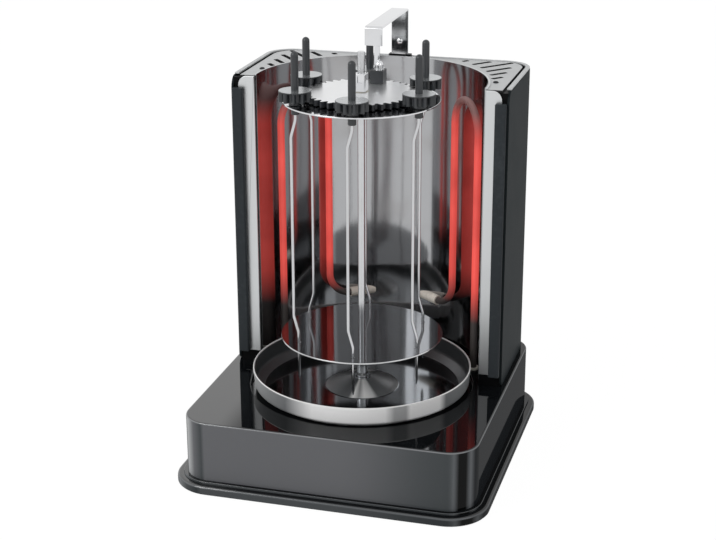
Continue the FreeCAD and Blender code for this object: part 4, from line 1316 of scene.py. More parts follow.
@dataclass
class RearCase(Assembly):
    """Painted rear case with its mouth frames, silver fascias, edge bars and vented covers.

    Attributes:
        corner: Outer radius of the rear corners.
        sheet: Thickness of the case and the covers.
        ridge: Width of the pale ridge along the top of each side.
        ridge_height: Its height.
        drop: Distance from its top down to the case's own edge.
        upper_round: Width and height of the rounding at the sides' upper front corners.
        lower_round: The same at their lower front corners.
        fascia_corner: Radius of each fascia's outer top corner.
        bar_corner: Radius of the edge bars' upright corners.
        cover_corner: Radius of each cover's rear corner.
        reach: Radius of the covers' inner edge.
        vents: Number of vents in a cover.
        vent_slope: Angle at which the vents run back, in degrees.
        vent_turn: Angle of the first vent about the bay and the step to the next, in degrees.
        vent_foot: Distance of the first vent from the inner edge and what each next one adds.
        vent_width: Width of a vent.
        vent_corner: Radius of its corners.
        vent_rim: Width left between a vent and the cover's right and rear edge.
        screw: Place of the right cover's screw.
        screw_hole: Radius of its hole.
        shank: Radius of a screw's shank.
        head: Radius of its head.
        head_height: Height of that head.
        recess: Half of the length and of the width of its cross recess.
        recess_depth: Depth of that recess.
    """

    title: ClassVar[str] = "rear case"
    corner: float = 27
    sheet: float = 2
    ridge: float = 4.5
    ridge_height: float = 1.9
    drop: float = 1.8
    upper_round: Pair = (10, 12)
    lower_round: Pair = (6, 8)
    fascia_corner: float = 9
    bar_corner: float = 1.6
    cover_corner: float = 24
    reach: float = 111.6
    vents: int = 6
    vent_slope: float = 49
    vent_turn: Pair = (19.5, 7.7)
    vent_foot: Pair = (5, 1.9)
    vent_width: float = 5
    vent_corner: float = 1.6
    vent_rim: Pair = (8.5, 6)
    screw: Pair = (114.8, 46)
    screw_hole: float = 1.55
    shank: float = 1.5
    head: float = 2.6
    head_height: float = 1.5
    recess: Pair = (1.6, 0.3)
    recess_depth: float = 0.8

    def case(self) -> None:
        """Right side, back and left side bent from one sheet, open at the front.

        The front corners of the sides are cut to quarter ellipses.
        """
        x, y, z = spans("rear_case")
        inside = self.corner - self.sheet
        thin, back = grown(x, -self.sheet), y[1] - self.sheet
        corners = [(x[1], y[0]), (x[1], y[1]), (x[0], y[1]), (x[0], y[0]),
                   (thin[0], y[0]), (thin[0], back), (thin[1], back), (thin[1], y[0])]
        radii = [0, self.corner, self.corner, 0, 0, inside, inside, 0]
        top = z[1] - self.drop
        outline = rounded_path(corners, radii, True, FINE)
        piece = Shell().slab(outline, z[0], top, 0.5).solid("case_sheet")
        angles = np.linspace(math.pi, math.pi / 2, 10)
        for (wide, tall), level, away in ((self.upper_round, top, 1), (self.lower_round, z[0], -1)):
            end, out, beyond = level - away * tall, y[0] - THROUGH, level + away * THROUGH
            arc = np.stack([y[0] + wide * (1 + np.cos(angles)),
                            level - away * tall * (1 - np.sin(angles))], 1)
            corner = np.concatenate([arc, [(y[0] + wide, beyond), (out, beyond), (out, end)]])
            cut(piece, Shell().slab(corner[::away], *grown(x, THROUGH), 0.01, Facing.SIDE))
        self.finish(piece, Look.CASE_PAINT, "rear_case")

    def ridges(self) -> None:
        """Pale ridge round the case's top edge: broad along the sides, narrow along the back."""
        x, y, z = spans("rear_case")
        play = 0.3
        start, side, back = y[0] + self.upper_round[0], x[1] - play, y[1] - play
        inner, rear = x[1] - self.ridge, y[1] - self.sheet - 0.05
        outer = self.corner - play
        corners = [(side, start), (side, back), (-side, back), (-side, start),
                   (-inner, start), (-inner, rear), (inner, rear), (inner, start)]
        radii = [0, outer, outer, 0, 0, self.cover_corner, self.cover_corner, 0]
        outline = rounded_path(corners, radii, True, FINE)
        piece = Shell().slab(outline, z[1] - self.ridge_height, z[1], 0.6).solid("top_ridge")
        self.finish(piece, Look.COVER_GREY)

    def fascias(self) -> None:
        """Silver strips beside the bay, rounded at their outer top corners."""
        x, y, z = spans("fascia_right")
        corners = [(x[0], z[0]), (x[1], z[0]), (x[1], z[1]), (x[0], z[1])]
        outline = rounded_path(corners, [0.3, 0.3, self.fascia_corner, 0.3], True, FINE)
        right = Shell().slab(outline, *y, 0.5, Facing.FRONT)
        self.twins(right, "silver_fascia", Look.SILVER_TRIM, "fascia")

    def bars(self) -> None:
        """Dark upright bars in front of the case's edges."""
        x, y, z = spans("edge_bar_right")
        right = Shell().slab(box_outline(x, y, self.bar_corner), *z, 1.0)
        self.twins(right, "upright_bar", Look.BAR_PLASTIC, "edge_bar")

    def covers(self) -> None:
        """Top plates between the case and the bay, with slanting vents and a screw hole each.

        The inner edge is an arc about the bay's middle. A vent is a rounded parallelogram that
        starts near that arc and runs back until it comes to the plate's right or rear edge.
        """
        x, y, z = spans("top_cover_right")
        start = math.degrees(math.asin(x[0] / self.reach))
        turns = np.radians(np.linspace(90 - start, 0, 40))
        bow = self.reach * np.stack([np.cos(turns), np.sin(turns)], 1) + BAY
        corners = [(self.reach, y[0]), (x[1], y[0]), (x[1], y[1]), (x[0], y[1])]
        rear = rounded_path(corners, [0, 0.4, self.cover_corner, 0], step=FINE)
        slots, through = Shell(), grown(z, THROUGH)
        slope = math.radians(self.vent_slope)
        along = np.array([math.cos(slope), math.sin(slope)])
        aside = np.array([-math.sin(slope), math.cos(slope)]) * self.vent_width
        for index in range(self.vents):
            turn = math.radians(self.vent_turn[0] + index * self.vent_turn[1])
            away = self.reach + self.vent_foot[0] + index * self.vent_foot[1]
            foot = np.array([away * math.cos(turn), BAY[1] + away * math.sin(turn)])
            run = along * min((x[1] - self.vent_rim[0] - foot[0]) / along[0],
                              (y[1] - self.vent_rim[1] - foot[1]) / along[1])
            ends = [foot, foot + run, foot + run + aside, foot + aside]
            slots.slab(rounded_path(ends, [self.vent_corner] * 4, True, 20), *through, 0.01)
        slots.add(turned([(self.screw_hole, level) for level in through], *self.screw, 20),
                  caps=True)
        right = Shell().slab(np.concatenate([rear, bow]), *z, 0.3)
        self.twins(right, "vented_cover", Look.VENTED_GREY, "top_cover", slots)

    def screws(self) -> None:
        """Pan-head screws of the covers: a domed head with a cross recess on a plain shank."""
        low, top = spans("cover_screws")[2]
        shank, head, under = self.shank, self.head, top - self.head_height
        section = [(0, low), (shank, low), (shank, under), (head, under), (head, top - 0.9),
                   (head - 0.5, top - 0.3), (1.2, top), (0, top)]
        (x, y), shells = self.screw, Shell()
        for side in (-1, 1):
            shells.add(turned(section, side * x, y, 32))
        piece = shells.solid("cover_screw_pair")
        for wide, deep in (self.recess, self.recess[::-1]):
            recess = Shell()
            for place in (-x, x):
                bar = box_outline(grown((place, place), wide), grown((y, y), deep), 0.1)
                recess.slab(bar, top - self.recess_depth, top + THROUGH, 0.02)
            cut(piece, recess)
        self.finish(piece, Look.DARK_SCREW, "cover_screws")

    def build(self) -> None:
        """Make the case and everything at its mouth and top."""
        self.case()
        self.ridges()
        self.fascias()
        self.bars()
        self.covers()
        self.screws()
        dress(Look.FRAME_PAINT, "frame_left", "frame_right")


@dataclass
class HeatBay(Assembly):
    """Polished reflector and the two glowing tubes in front of it.

    Attributes:
        inner: Inner radius of the reflector.
        sheet: Its thickness.
        flange: Half of its width over both flanges.
        flange_top: Level of the flanges' upper edge.
        bead: Radius of the bead along its top.
        hole: Radius of the openings for the tubes' tails.
        tube: Radius of a heating tube.
        tube_circle: Circle on which the tubes' legs stand.
        turns: Angles of the front and rear legs, in degrees.
        foot: Level of the front legs' ends.
        crown: Level of the tubes' upper bends before they are rounded.
        bow: Radius of those bends over half the distance between the legs.
        tail_level: Level of the tails.
        tail_bend: Radius of the bend from a rear leg into its tail.
        tail_reach: Length of a tail from the rear leg's middle.
        tail_hole: Distances behind that between which the reflector is cut.
    """

    title: ClassVar[str] = "heat bay"
    inner: float = 110.5
    sheet: float = 0.8
    flange: float = 124.6
    flange_top: float = 356.7
    bead: float = 0.95
    hole: float = 5.05
    tube: float = 3.5
    tube_circle: float = 103
    turns: Pair = (17.2, 51)
    foot: float = 49
    crown: float = 335
    bow: float = 0.98
    tail_level: float = 113
    tail_bend: float = 24
    tail_reach: float = 51.97
    tail_hole: Pair = (12, 75)

    def leg(self, turn: float, level: float) -> Array:
        """Point on the right tube's circle."""
        angle, away = math.radians(turn), self.tube_circle
        return np.array([away * math.cos(angle), BAY[1] + away * math.sin(angle), level])

    def tail(self) -> Array:
        """Direction of the tail behind the rear leg."""
        angle = math.radians(self.turns[1])
        return np.array([-math.sin(angle), math.cos(angle), 0])

    def reflector(self) -> None:
        """Half-round trough with straight lips, a flange behind each fascia and the tube holes."""
        y, z = spans("reflector")[1:]
        turns = np.radians(np.linspace(0, 180, 97))
        bow = np.stack([np.cos(turns), np.sin(turns)], 1)
        outer, inner = bow * (self.inner + self.sheet) + BAY, bow[::-1] * self.inner + BAY
        outline = np.concatenate([
            [(outer[0, 0], y[0])], outer, [(outer[-1, 0], y[0]), (inner[0, 0], y[0])], inner,
            [(inner[-1, 0], y[0])]])
        shell = Shell().slab(outline, *z, 0.2)
        for side in (-1, 1):
            near, far = sorted((side * (self.inner + self.sheet + 0.05), side * self.flange))
            strip = box_outline((near, far), (y[0], y[0] + self.sheet), 0.1)
            shell.slab(strip, z[0], self.flange_top, 0.1)
        piece = shell.solid("polished_reflector")
        line = self.leg(self.turns[1], self.tail_level) + np.outer(self.tail_hole, self.tail())
        right = Shell().add(swept(line, self.hole, (0, 0, 1), 32), (False, True), caps=True)
        cut(piece, right)
        cut(piece, right.mirrored())
        self.finish(piece, Look.MIRROR_STEEL, "reflector")

    def rolled_edge(self) -> None:
        """Pale bead along the reflector's top edge: a round section carried round the trough."""
        y, z = spans("reflector")[1:]
        away, turns = self.inner + 1.5, np.radians(np.linspace(0, 180, 97))
        bow = np.stack([away * np.cos(turns), BAY[1] + away * np.sin(turns)], 1)
        line = np.concatenate([[(away, y[0] + 0.3)], bow, [(-away, y[0] + 0.3)]])
        path = np.concatenate([line, np.full((len(line), 1), z[1] - 1)], 1)
        grid = swept(path, self.bead, (0, 0, 1), 12)
        piece = Shell().add(grid, (False, True), caps=True).solid("reflector_bead")
        self.finish(piece, Look.SILVER_TRIM)

    def tubes(self) -> None:
        """Tubes bent up, over and down again, then back through the reflector."""
        front, rear = self.turns
        bow = np.linalg.norm(self.leg(front, 0) - self.leg(rear, 0)) / 2 * self.bow
        knee = self.leg(rear, self.tail_level)
        corners = [self.leg(front, self.foot), self.leg(front, self.crown),
                   self.leg(rear, self.crown), knee, knee + self.tail() * self.tail_reach]
        path = rounded_path(corners, [0, bow, bow, self.tail_bend, 0], step=5)
        middle = math.radians((front + rear) / 2)
        grid = swept(path, self.tube, (math.cos(middle), math.sin(middle), 0), 32)
        right = Shell().add(grid, (False, True), caps=True)
        self.twins(right, "glowing_tube", Look.TUBE_RED, "heating_tube")

    def build(self) -> None:
        """Make the reflector and the tubes and dress their bushes and blades."""
        self.reflector()
        self.rolled_edge()
        self.tubes()
        dress(Look.CERAMIC, "ceramic_bushes")
        dress(Look.ZINC_STEEL, "tube_blades")


@dataclass
class DripTray(Assembly):
    """Thin polished tray with a rolled rim, a rounded foot and a cone at its middle.

    Attributes:
        sheet: Thickness.
        hole: Radius of the hole round the drive.
        crown: Radius of the cone's level top.
        cone: Radius of the cone's foot.
        rise: Height of the cone.
        floor: Radius of the flat floor's lower face.
        wall: Radius of the rim.
    """

    title: ClassVar[str] = "drip tray"
    body: ClassVar[str] = "tray"
    sheet: float = 1
    hole: float = 6.1
    crown: float = 9
    cone: float = 36
    rise: float = 9
    floor: float = 95
    wall: float = 106

    def build(self) -> None:
        """Turn the closed section: inner face outwards over the rim and back underneath."""
        low, high = spans("drip_tray")[2]
        level, wall = low + self.sheet, self.wall
        corners = [(self.hole, level + self.rise), (self.crown, level + self.rise),
                   (self.cone, level), (self.floor - 2, level), (self.floor, level),
                   (wall - 2.5, level + 6), (wall - 1.6, high - 1.2), (wall - 1, high),
                   (wall, high), (wall, high - 1.5), (wall - 1.5, low + 6),
                   (self.floor, low), (self.cone, low), (self.crown, low + self.rise),
                   (self.hole, low + self.rise)]
        radii = [0.3, 2, 6, 0, 3, 4, 0.6, 0.45, 0.45, 0.4, 4, 3, 6, 2, 0.3]
        grid = turned(rounded_path(corners, radii, True, 12), *AXIS, 160)
        piece = Shell().add(grid, (True, True)).solid("polished_tray")
        self.finish(piece, Look.TRAY_STEEL, "drip_tray")


@dataclass
class Carousel(Assembly):
    """Shaft, sleeve, the two discs that carry the skewers, the collar and the knob.

    Attributes:
        circle: Radius of the skewers' circle.
        turn: Angle of the first skewer, in degrees.
        skewers: Number of skewers.
        shaft: Radius of the shaft.
        bore: Radius of the holes that the shaft passes.
        sleeve: Outer radius of the sleeve.
        collar: Outer radius of the collar.
        socket: Radius of the sleeve's hole for the drive.
        socket_top: Level of its end.
        pin_hole: Radius of the lower disc's hole for a skewer's foot.
        grip_hole: Radius of the upper disc's hole for a skewer's ferrule.
        knob_foot: Height of the knob's square foot.
        stem: Radius of the knob's stem.
        stem_round: Radius of the rounding at its upper end.
        knob_bore: Level of the end of the knob's hole.
        window: Half of the window's width, and its levels below the top of that foot.
    """

    title: ClassVar[str] = "carousel"
    body: ClassVar[str] = "carousel"
    circle: float = 65
    turn: float = 38.5
    skewers: int = 6
    shaft: float = 3.5
    bore: float = 3.55
    sleeve: float = 5.5
    collar: float = 8
    socket: float = 4.05
    socket_top: float = 76.3
    pin_hole: float = 2
    grip_hole: float = 4.4
    knob_foot: float = 17
    stem: float = 4.5
    stem_round: float = 3
    knob_bore: float = 395.3
    window: Triple = (2.2, 8.5, 2.1)

    def places(self) -> Array:
        """Centres of the skewers, one per row."""
        turns = np.radians(self.turn + np.arange(self.skewers) * 360 / self.skewers)
        return np.stack([np.cos(turns), np.sin(turns)], 1) * self.circle + AXIS

    def disc(self, node: str, label: str, look: Look, hole: float) -> None:
        """Thin disc with an eased rim and one hole for each skewer.

        Args:
            node: Node that it stands for.
            label: Name of the piece.
            look: Finish.
            hole: Radius of a skewer's hole.
        """
        (left, right), _, (low, high) = spans(node)
        top = fillet(0.35, (right - left) / 2, high, 3)
        under = [(offset, low + high - level) for offset, level in reversed(top)]
        section = [(self.bore, low), *under, *top, (self.bore, high)]
        piece = Shell().add(turned(section, *AXIS, 144), (True, True)).solid(label)
        holes = Shell()
        for x, y in self.places():
            pin = [(hole, level) for level in grown((low, high), THROUGH)]
            holes.add(turned(pin, x, y, 28), caps=True)
        cut(piece, holes)
        self.finish(piece, look, node)

    def column(self, node: str, label: str, look: Look, section: list[Pair]) -> None:
        """Turned piece on the carousel's axis.

        Args:
            node: Node that it stands for.
            label: Name of the piece.
            look: Finish.
            section: Closed section of radius and level.
        """
        piece = Shell().add(turned(section, *AXIS, 48), (True, True)).solid(label)
        self.finish(piece, look, node)

    def knob(self) -> None:
        """Square foot with a small window below a round stem with a domed end."""
        x, y, (low, high) = spans("shaft_knob")
        foot = low + self.knob_foot
        shell = Shell().slab(box_outline(x, y, 1.2), low, foot, 0.7)
        stem, bend = self.stem, self.stem_round
        section = [(0, foot - 1), (stem, foot - 1),
                   *dome(bend, high, bend, 7, inset=stem - bend), (0, high)]
        piece = shell.add(turned(section, *AXIS, 48)).solid("knob_on_shaft")
        wide, bottom, top = self.window
        outline = box_outline((-wide, wide), (y[0] - THROUGH, y[0] + THROUGH), 0.1)
        cut(piece, Shell().slab(outline, foot - bottom, foot - top, 0.02))
        bore = [(self.bore, low - THROUGH), (self.bore, self.knob_bore)]
        cut(piece, Shell().add(turned(bore, *AXIS, 32), caps=True))
        self.finish(piece, Look.CHROME, "shaft_knob")

    def build(self) -> None:
        """Make the column from the drive up to the knob."""
        names = ("centre_shaft", "shaft_sleeve", "carrier_collar")
        (foot, head), (low, high), (under, over) = (spans(name)[2] for name in names)
        ease, play, shaft, bore = 0.4, 0.01, self.shaft, self.bore
        sleeve, collar = self.sleeve, self.collar
        self.column("centre_shaft", "shaft_rod", Look.ROD_STEEL, [
            (0, foot), (shaft - ease, foot), (shaft, foot + ease), (shaft, head - ease),
            (shaft - ease, head), (0, head)])
        self.column("shaft_sleeve", "drive_sleeve", Look.CHROME, [
            (self.socket, low), (sleeve - ease, low), (sleeve, low + ease),
            (sleeve, high - play), (bore, high - play), (bore, self.socket_top),
            (self.socket, self.socket_top)])
        self.column("carrier_collar", "disc_collar", Look.GRIP_PLASTIC, [
            (bore, under), (collar - 2 * ease, under), (collar, under + 2 * ease),
            (collar, over - play), (bore, over - play)])
        self.disc("lower_disc", "lower_plate", Look.DARK_MIRROR, self.pin_hole)
        self.disc("carrier_disc", "carrier_plate", Look.CHROME, self.grip_hole)
        self.knob()


@dataclass
class GearTrain(Assembly):
    """Sun gear that stands still above the carrier, with the block and nut that lock it.

    Attributes:
        teeth: Teeth of the sun gear.
        bore: Radius of its bore.
        face: Radius of the ring on its faces that the teeth's own ring of faces starts from.
        ease: Width and height of its eased edges.
        slot: Slot of the block along X and along Y.
        cap_rim: Height of the nut's flat rim.
        cap_dome: Radius of its dome over that of its rim, and the dome's height.
    """

    title: ClassVar[str] = "gear train"
    teeth: int = 40
    bore: float = 7.05
    face: float = 48
    ease: float = 0.3
    slot: tuple[Pair, Pair] = ((0.1, 6.7), (33.4, 36.6))
    cap_rim: float = 1.3
    cap_dome: Pair = (0.86, 4.6)

    def sun(self) -> None:
        """Toothed ring: bore, eased toothed rim and bore again, joined as one closed ring of rings.

        The bore has one point at the angle of each point of the toothed outline.
        """
        low, high = spans("sun_gear")[2]
        teeth = TOOTH.outline(self.teeth, AXIS, 0)
        ring = partial(ring_like, teeth, AXIS)
        rim = carried(teeth, [(-self.ease, low), (0, low + self.ease), (0, high - self.ease),
                              (-self.ease, high)])
        rings = [ring(self.bore, low), ring(self.face, low), *np.moveaxis(rim, 1, 0),
                 ring(self.face, high), ring(self.bore, high)]
        piece = Shell().add(np.stack(rings, 1), (True, True)).solid("fixed_gear")
        self.finish(piece, Look.GEAR_FACE, "sun_gear")

    def block(self) -> None:
        """Slotted block that the bracket's tongue sits in."""
        x, y, z = spans("lock_block")
        piece = Shell().slab(box_outline(x, y, 1.0), *z, 0.6).solid("slotted_block")
        cut(piece, Shell().slab(box_outline(*self.slot, 0.3), *grown(z, THROUGH), 0.02))
        self.finish(piece, Look.GRIP_PLASTIC, "lock_block")

    def nut(self) -> None:
        """Domed nut on the block."""
        x, y, (low, high) = spans("lock_cap")
        radius, rim = (x[1] - x[0]) / 2, low + self.cap_rim
        neck, rise = radius * self.cap_dome[0], self.cap_dome[1]
        section = [(0, low), (radius - 0.2, low), (radius, low + 0.2), (radius, rim),
                   (neck, rim + 0.3), *dome(neck, high, rise, 8)]
        piece = Shell().add(turned(section, sum(x) / 2, sum(y) / 2, 40)).solid("domed_nut")
        self.finish(piece, Look.CHROME, "lock_cap")

    def build(self) -> None:
        """Make the sun gear and its lock."""
        self.sun()
        self.block()
        self.nut()


@dataclass
class Skewers(Assembly):
    """Six cranked rods in dark grips, each with its boss, ferrule and pinion.

    Attributes:
        carousel: Carousel that they stand on.
        teeth: Teeth of a pinion.
        ratio: Teeth of the sun gear over those of a pinion.
        ferrule: Radius of the ferrule.
        boss: Radius of the boss.
        grip: Radius of the handle.
        levels: Levels over the ferrule's foot of the boss, the pinion and the handle.
        cap: Height of the disc that caps the pinion.
        rod: Radius of a rod.
        foot: Level where a rod's crank starts.
        head: Level where it ends.
        slope: Height in which the rod moves over to its crank.
        crank: How far its long run stands off its axis.
        bend: Radius of its bends.
        cranks: Side to which each rod's crank stands, -1 or 1 along X.
    """

    title: ClassVar[str] = "skewers"
    carousel: Carousel
    teeth: int = 10
    ratio: float = 4
    ferrule: float = 3.8
    boss: float = 6
    grip: float = 3.5
    levels: Triple = (9, 12.5, 22.5)
    cap: float = 1.1
    rod: float = 1.4
    foot: float = 129.5
    head: float = 337.3
    slope: float = 16
    crank: float = 4.5
    bend: float = 14
    cranks: tuple[int, ...] = (-1, -1, 1, -1, -1, -1)

    def handle(self, number: int, x: float, y: float, turn: float) -> None:
        """Ferrule, boss, pinion, its cap and domed handle, closed shells that run together.

        Args:
            number: Skewer's number.
            x: Place along X.
            y: Place along Y.
            turn: Angle of its place on the carousel, in degrees.
        """
        low, high = spans(f"skewer_grip_{number}")[2]
        boss, wheel, top = (low + level for level in self.levels)
        ferrule, wide, grip, tip = self.ferrule, self.boss, self.grip, TOOTH.tip(self.teeth)
        phase = turn * (1 + self.ratio) + 180 + 180 / self.teeth
        pinion = carried(TOOTH.outline(self.teeth, (x, y), phase), [
            (-0.35, wheel), (0, wheel + 0.35), (0, top - 1.2), (-0.2, top - 1)])
        shell = Shell()
        shell.add(turned([(0, low), (ferrule - 0.5, low), (ferrule, low + 0.5), (ferrule, boss),
                          (0, boss)], x, y, 32))
        shell.add(turned([(0, boss), (wide - 0.4, boss), (wide, boss + 0.4), (wide, wheel),
                          (0, wheel)], x, y, 40))
        shell.add(pinion, caps=True)
        shell.add(turned([(0, top - self.cap), (tip - 0.2, top - self.cap), (tip, top - 0.9),
                          (tip, top - 0.3), (tip - 0.3, top), (0, top)], x, y, 48))
        shell.add(turned([(0, top - 2), (grip - 0.3, top - 2), (grip, top + 1),
                          *dome(grip, high, grip, 8)], x, y, 36))
        self.finish(shell.solid(f"grip_and_pinion_{number}"), Look.GRIP_PLASTIC,
                    f"skewer_grip_{number}", body=f"skewer_{number}")

    def shank(self, number: int, x: float, y: float) -> None:
        """Round rod with a pin at its foot, a cranked run and a tapered point.

        Args:
            number: Skewer's number.
            x: Place along X.
            y: Place along Y.
        """
        low, high = spans(f"skewer_rod_{number}")[2]
        out = self.crank * self.cranks[number - 1]
        corners = [(0, 0, low + 5), (0, 0, self.foot), (out, 0, self.foot + self.slope),
                   (out, 0, self.head - self.slope), (0, 0, self.head), (0, 0, high)]
        run = rounded_path(corners, [0, *[self.bend] * 4, 0], step=4)
        path = np.concatenate([[(0, 0, low), (0, 0, low + 1.2)], run]) + (x, y, 0)
        radii = np.concatenate([[self.rod / 4, 0.75], np.full(len(run), self.rod)])
        grid = swept(path, radii, (0, 1, 0), 20)
        piece = Shell().add(grid, (False, True), caps=True).solid(f"rod_{number}")
        self.finish(piece, Look.ROD_STEEL, f"skewer_rod_{number}", body=f"skewer_{number}")

    def build(self) -> None:
        """Make each skewer at its place."""
        step = 360 / self.carousel.skewers
        for index, (x, y) in enumerate(self.carousel.places().tolist()):
            self.handle(index + 1, x, y, self.carousel.turn + index * step)
            self.shank(index + 1, x, y)


@dataclass
class HoldBracket(Assembly):
    """Bent strap over the gears, with its tongue, its stud and the guide that it lifts in.

    Attributes:
        sheet: Thickness of the strap.
        bend: Outer radius of its bends.
        shoulder: Level of the shoulders above the tongue.
        tongue: Tongue's place along X.
        tongue_end: Level of its end.
        stud: Radius of the stud.
        stud_rim: Height of its rim.
        stud_rise: Height of its dome over that.
    """

    title: ClassVar[str] = "hold bracket"
    body: ClassVar[str] = "bracket"
    sheet: float = 2
    bend: float = 3.2
    shoulder: float = 392
    tongue: Pair = (0.7, 6.1)
    tongue_end: float = 359.5
    stud: float = 3
    stud_rim: float = 0.3
    stud_rise: float = 1.2

    def strap(self) -> None:
        """Strap's section along Y and Z carried across X, and the tongue below its front leg."""
        x, y, z = spans("hold_bracket")
        inside = self.bend - self.sheet
        near, far, under = y[0] + self.sheet, y[1] - self.sheet, z[1] - self.sheet
        corners = [(y[0], self.shoulder), (near, self.shoulder), (near, under), (far, under),
                   (far, z[0]), (y[1], z[0]), (y[1], z[1]), (y[0], z[1])]
        radii = [0, 0, inside, inside, 0, 0, self.bend, self.bend]
        shell = Shell().slab(rounded_path(corners, radii, True, 9), *x, 0.3, Facing.SIDE)
        left, right = self.tongue
        ends = [(left, self.tongue_end), (right, self.tongue_end), (right, self.shoulder),
                (left, self.shoulder)]
        shell.slab(rounded_path(ends, [1, 1, 0, 0], True), y[0], near, 0.25, Facing.FRONT)
        self.finish(shell.solid("bent_strap"), Look.CHROME, "hold_bracket")

    def rivet(self) -> None:
        """Low domed rivet head on the front of the rear leg."""
        x, y, z = spans("bracket_stud")
        head = dome(self.stud, self.stud_rim + self.stud_rise, self.stud_rise, 6)
        grid = turned([(0, 0), (self.stud, 0), *head], sum(x) / 2, sum(z) / 2, 32)
        grid[..., 2] = y[1] - grid[..., 2]
        piece = Shell().add(grid, facing=Facing.FRONT).solid("rivet_head")
        self.finish(piece, Look.CHROME, "bracket_stud")

    def build(self) -> None:
        """Make the strap and the stud and dress the guide."""
        self.strap()
        self.rivet()
        dress(Look.FRAME_PAINT, "bracket_guide")


# ---------------------------------------------------------------- studio

@dataclass(frozen=True)
class Lamp:
    """Soft square lamp that looks at the middle of the grill.

    Attributes:
        name: Its name.
        place: Its place, in metres.
        size: Its side, in metres.
        power: Its power, in watts.
        target: Point that it looks at, in metres.
    """

    name: str
    place: Triple
    size: float
    power: float
    target: Triple = (0, 0, 0.2)

    def build(self) -> None:
        """Hang the lamp and turn it to its target."""
        data = bpy.data.lights.new(self.name, "AREA")
        data.energy = self.power
        data.size = self.size
        item = linked(self.name, data)
        item.location = self.place
        item.rotation_mode = "QUATERNION"
        aim = Vector(self.target) - item.location
        item.rotation_quaternion = aim.to_track_quat("-Z", "Y")


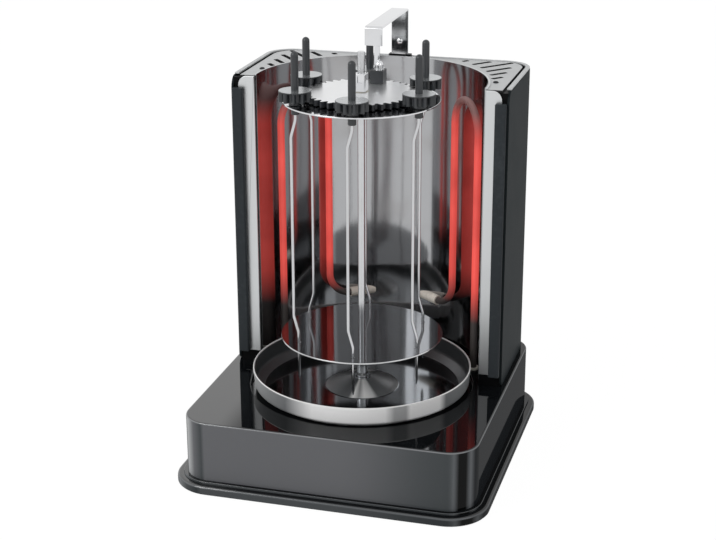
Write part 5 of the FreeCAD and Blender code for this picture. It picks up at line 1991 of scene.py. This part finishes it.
@dataclass(frozen=True)
class Studio:
    """Camera, pale floor, white surroundings and soft lamps.

    Attributes:
        azimuth: Camera's turn from the front towards +X, in degrees.
        elevation: Its height above the level, in degrees.
        roll: Its tilt, in degrees.
        distance: Its distance from the target, in metres.
        focal: Focal length over the frame's width.
        sensor: Width of its sensor, in millimetres.
        target: Point that it looks at, in metres.
        floor_side: Half of the floor's width, in metres.
        floor_level: Its level, in metres, just under the feet.
        floor_white: Strength of its white where it is seen.
        floor_share: Share of that white in it.
        fill: Strength of the surroundings as a lamp.
        lamps: Lamps.
    """

    azimuth: float = 15.95
    elevation: float = 19.62
    roll: float = -0.19
    distance: float = 1.54507
    focal: float = 1606.76 / 716
    sensor: float = 36.0
    target: Triple = (-0.00596, -0.00008, 0.18044)
    floor_side: float = 6.0
    floor_level: float = -0.0004
    floor_white: float = 1.03
    floor_share: float = 0.95
    fill: float = 0.55
    lamps: tuple[Lamp, ...] = (Lamp("key", (-1.3, -1.6, 1.6), 1.2, 22),
                               Lamp("side", (1.8, -0.8, 1.2), 1.0, 3))

    def camera(self) -> None:
        """Camera on a sphere about the target: height from the elevation, side from the azimuth."""
        azimuth, elevation = math.radians(self.azimuth), math.radians(self.elevation)
        back = Vector((math.sin(azimuth) * math.cos(elevation),
                       -math.cos(azimuth) * math.cos(elevation), math.sin(elevation)))
        data = bpy.data.cameras.new("camera")
        data.sensor_fit = "HORIZONTAL"
        data.sensor_width = self.sensor
        data.lens = self.focal * self.sensor
        item = linked("camera", data)
        item.rotation_mode = "QUATERNION"
        item.location = Vector(self.target) + back * self.distance
        tilt = Matrix.Rotation(math.radians(self.roll), 3, "Z").to_quaternion()
        item.rotation_quaternion = (-back).to_track_quat("-Z", "Y") @ tilt
        bpy.context.scene.camera = item

    def seen(self, shader: Shader) -> Wire:
        """Whether a ray looks or gathers light.

        Args:
            shader: Node tree that the wires run in.

        Returns:
            1 where the camera, a reflection or a clear piece looks, 0 for other rays.
        """
        path = shader.node("ShaderNodeLightPath")
        rays = [Wire(shader, path.outputs[name])
                for name in ("Is Camera Ray", "Is Glossy Ray", "Is Transmission Ray")]
        return (rays[0] + rays[1] + rays[2]).between(0, 1)

    def floor(self) -> None:
        """Wide pale sheet: white where it is seen, with a share of its own shade for the shadow."""
        mesh = bpy.data.meshes.new("floor")
        corners = box_outline((-self.floor_side, self.floor_side),
                              (-self.floor_side, self.floor_side), 0)
        levels = np.full((len(corners), 1), self.floor_level)
        mesh.from_pydata(np.concatenate([corners, levels], 1), [], [(0, 1, 2, 3)])
        item = linked("floor", mesh)
        shader = Shader(bpy.data.materials.new("pale_floor"))
        plain = shader.node("ShaderNodeBsdfDiffuse", sockets={"Color": (0.9, 0.9, 0.9, 1)})
        white = shader.node("ShaderNodeEmission", sockets={
            "Color": (1, 1, 1, 1), "Strength": self.floor_white})
        both = shader.node("ShaderNodeMixShader", sockets={
            0: self.seen(shader) * self.floor_share, 1: plain.outputs[0], 2: white.outputs[0]})
        shader.node("ShaderNodeOutputMaterial", sockets={"Surface": both.outputs[0]})
        mesh.materials.append(shader.owner)

    def world(self) -> None:
        """White surroundings where they are seen, a plain grey fill elsewhere."""
        world = bpy.data.worlds.new("studio")
        bpy.context.scene.world = world
        shader = Shader(world)
        fill, white = (shader.node("ShaderNodeBackground", sockets={
            "Color": (1, 1, 1, 1), "Strength": strength}) for strength in (self.fill, 1.0))
        both = shader.node("ShaderNodeMixShader", sockets={
            0: self.seen(shader), 1: fill.outputs[0], 2: white.outputs[0]})
        shader.node("ShaderNodeOutputWorld", sockets={"Surface": both.outputs[0]})

    def build(self) -> None:
        """Set the camera, the floor, the surroundings and the lamps."""
        bpy.context.scene.view_settings.view_transform = "Standard"
        self.camera()
        self.floor()
        self.world()
        for lamp in self.lamps:
            lamp.build()


def main() -> None:
    """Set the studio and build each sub-assembly in order."""
    logging.basicConfig(level=logging.INFO, format="%(name)s %(message)s")
    Studio().build()
    carousel = Carousel()
    for assembly in (BaseUnit(), RearCase(), HeatBay(), DripTray(), carousel, GearTrain(),
                     Skewers(carousel), HoldBracket()):
        assembly.build()
        log.info("%s: %d pieces", assembly.title, len(assembly.pieces))


if __name__ == "__main__":
    main()
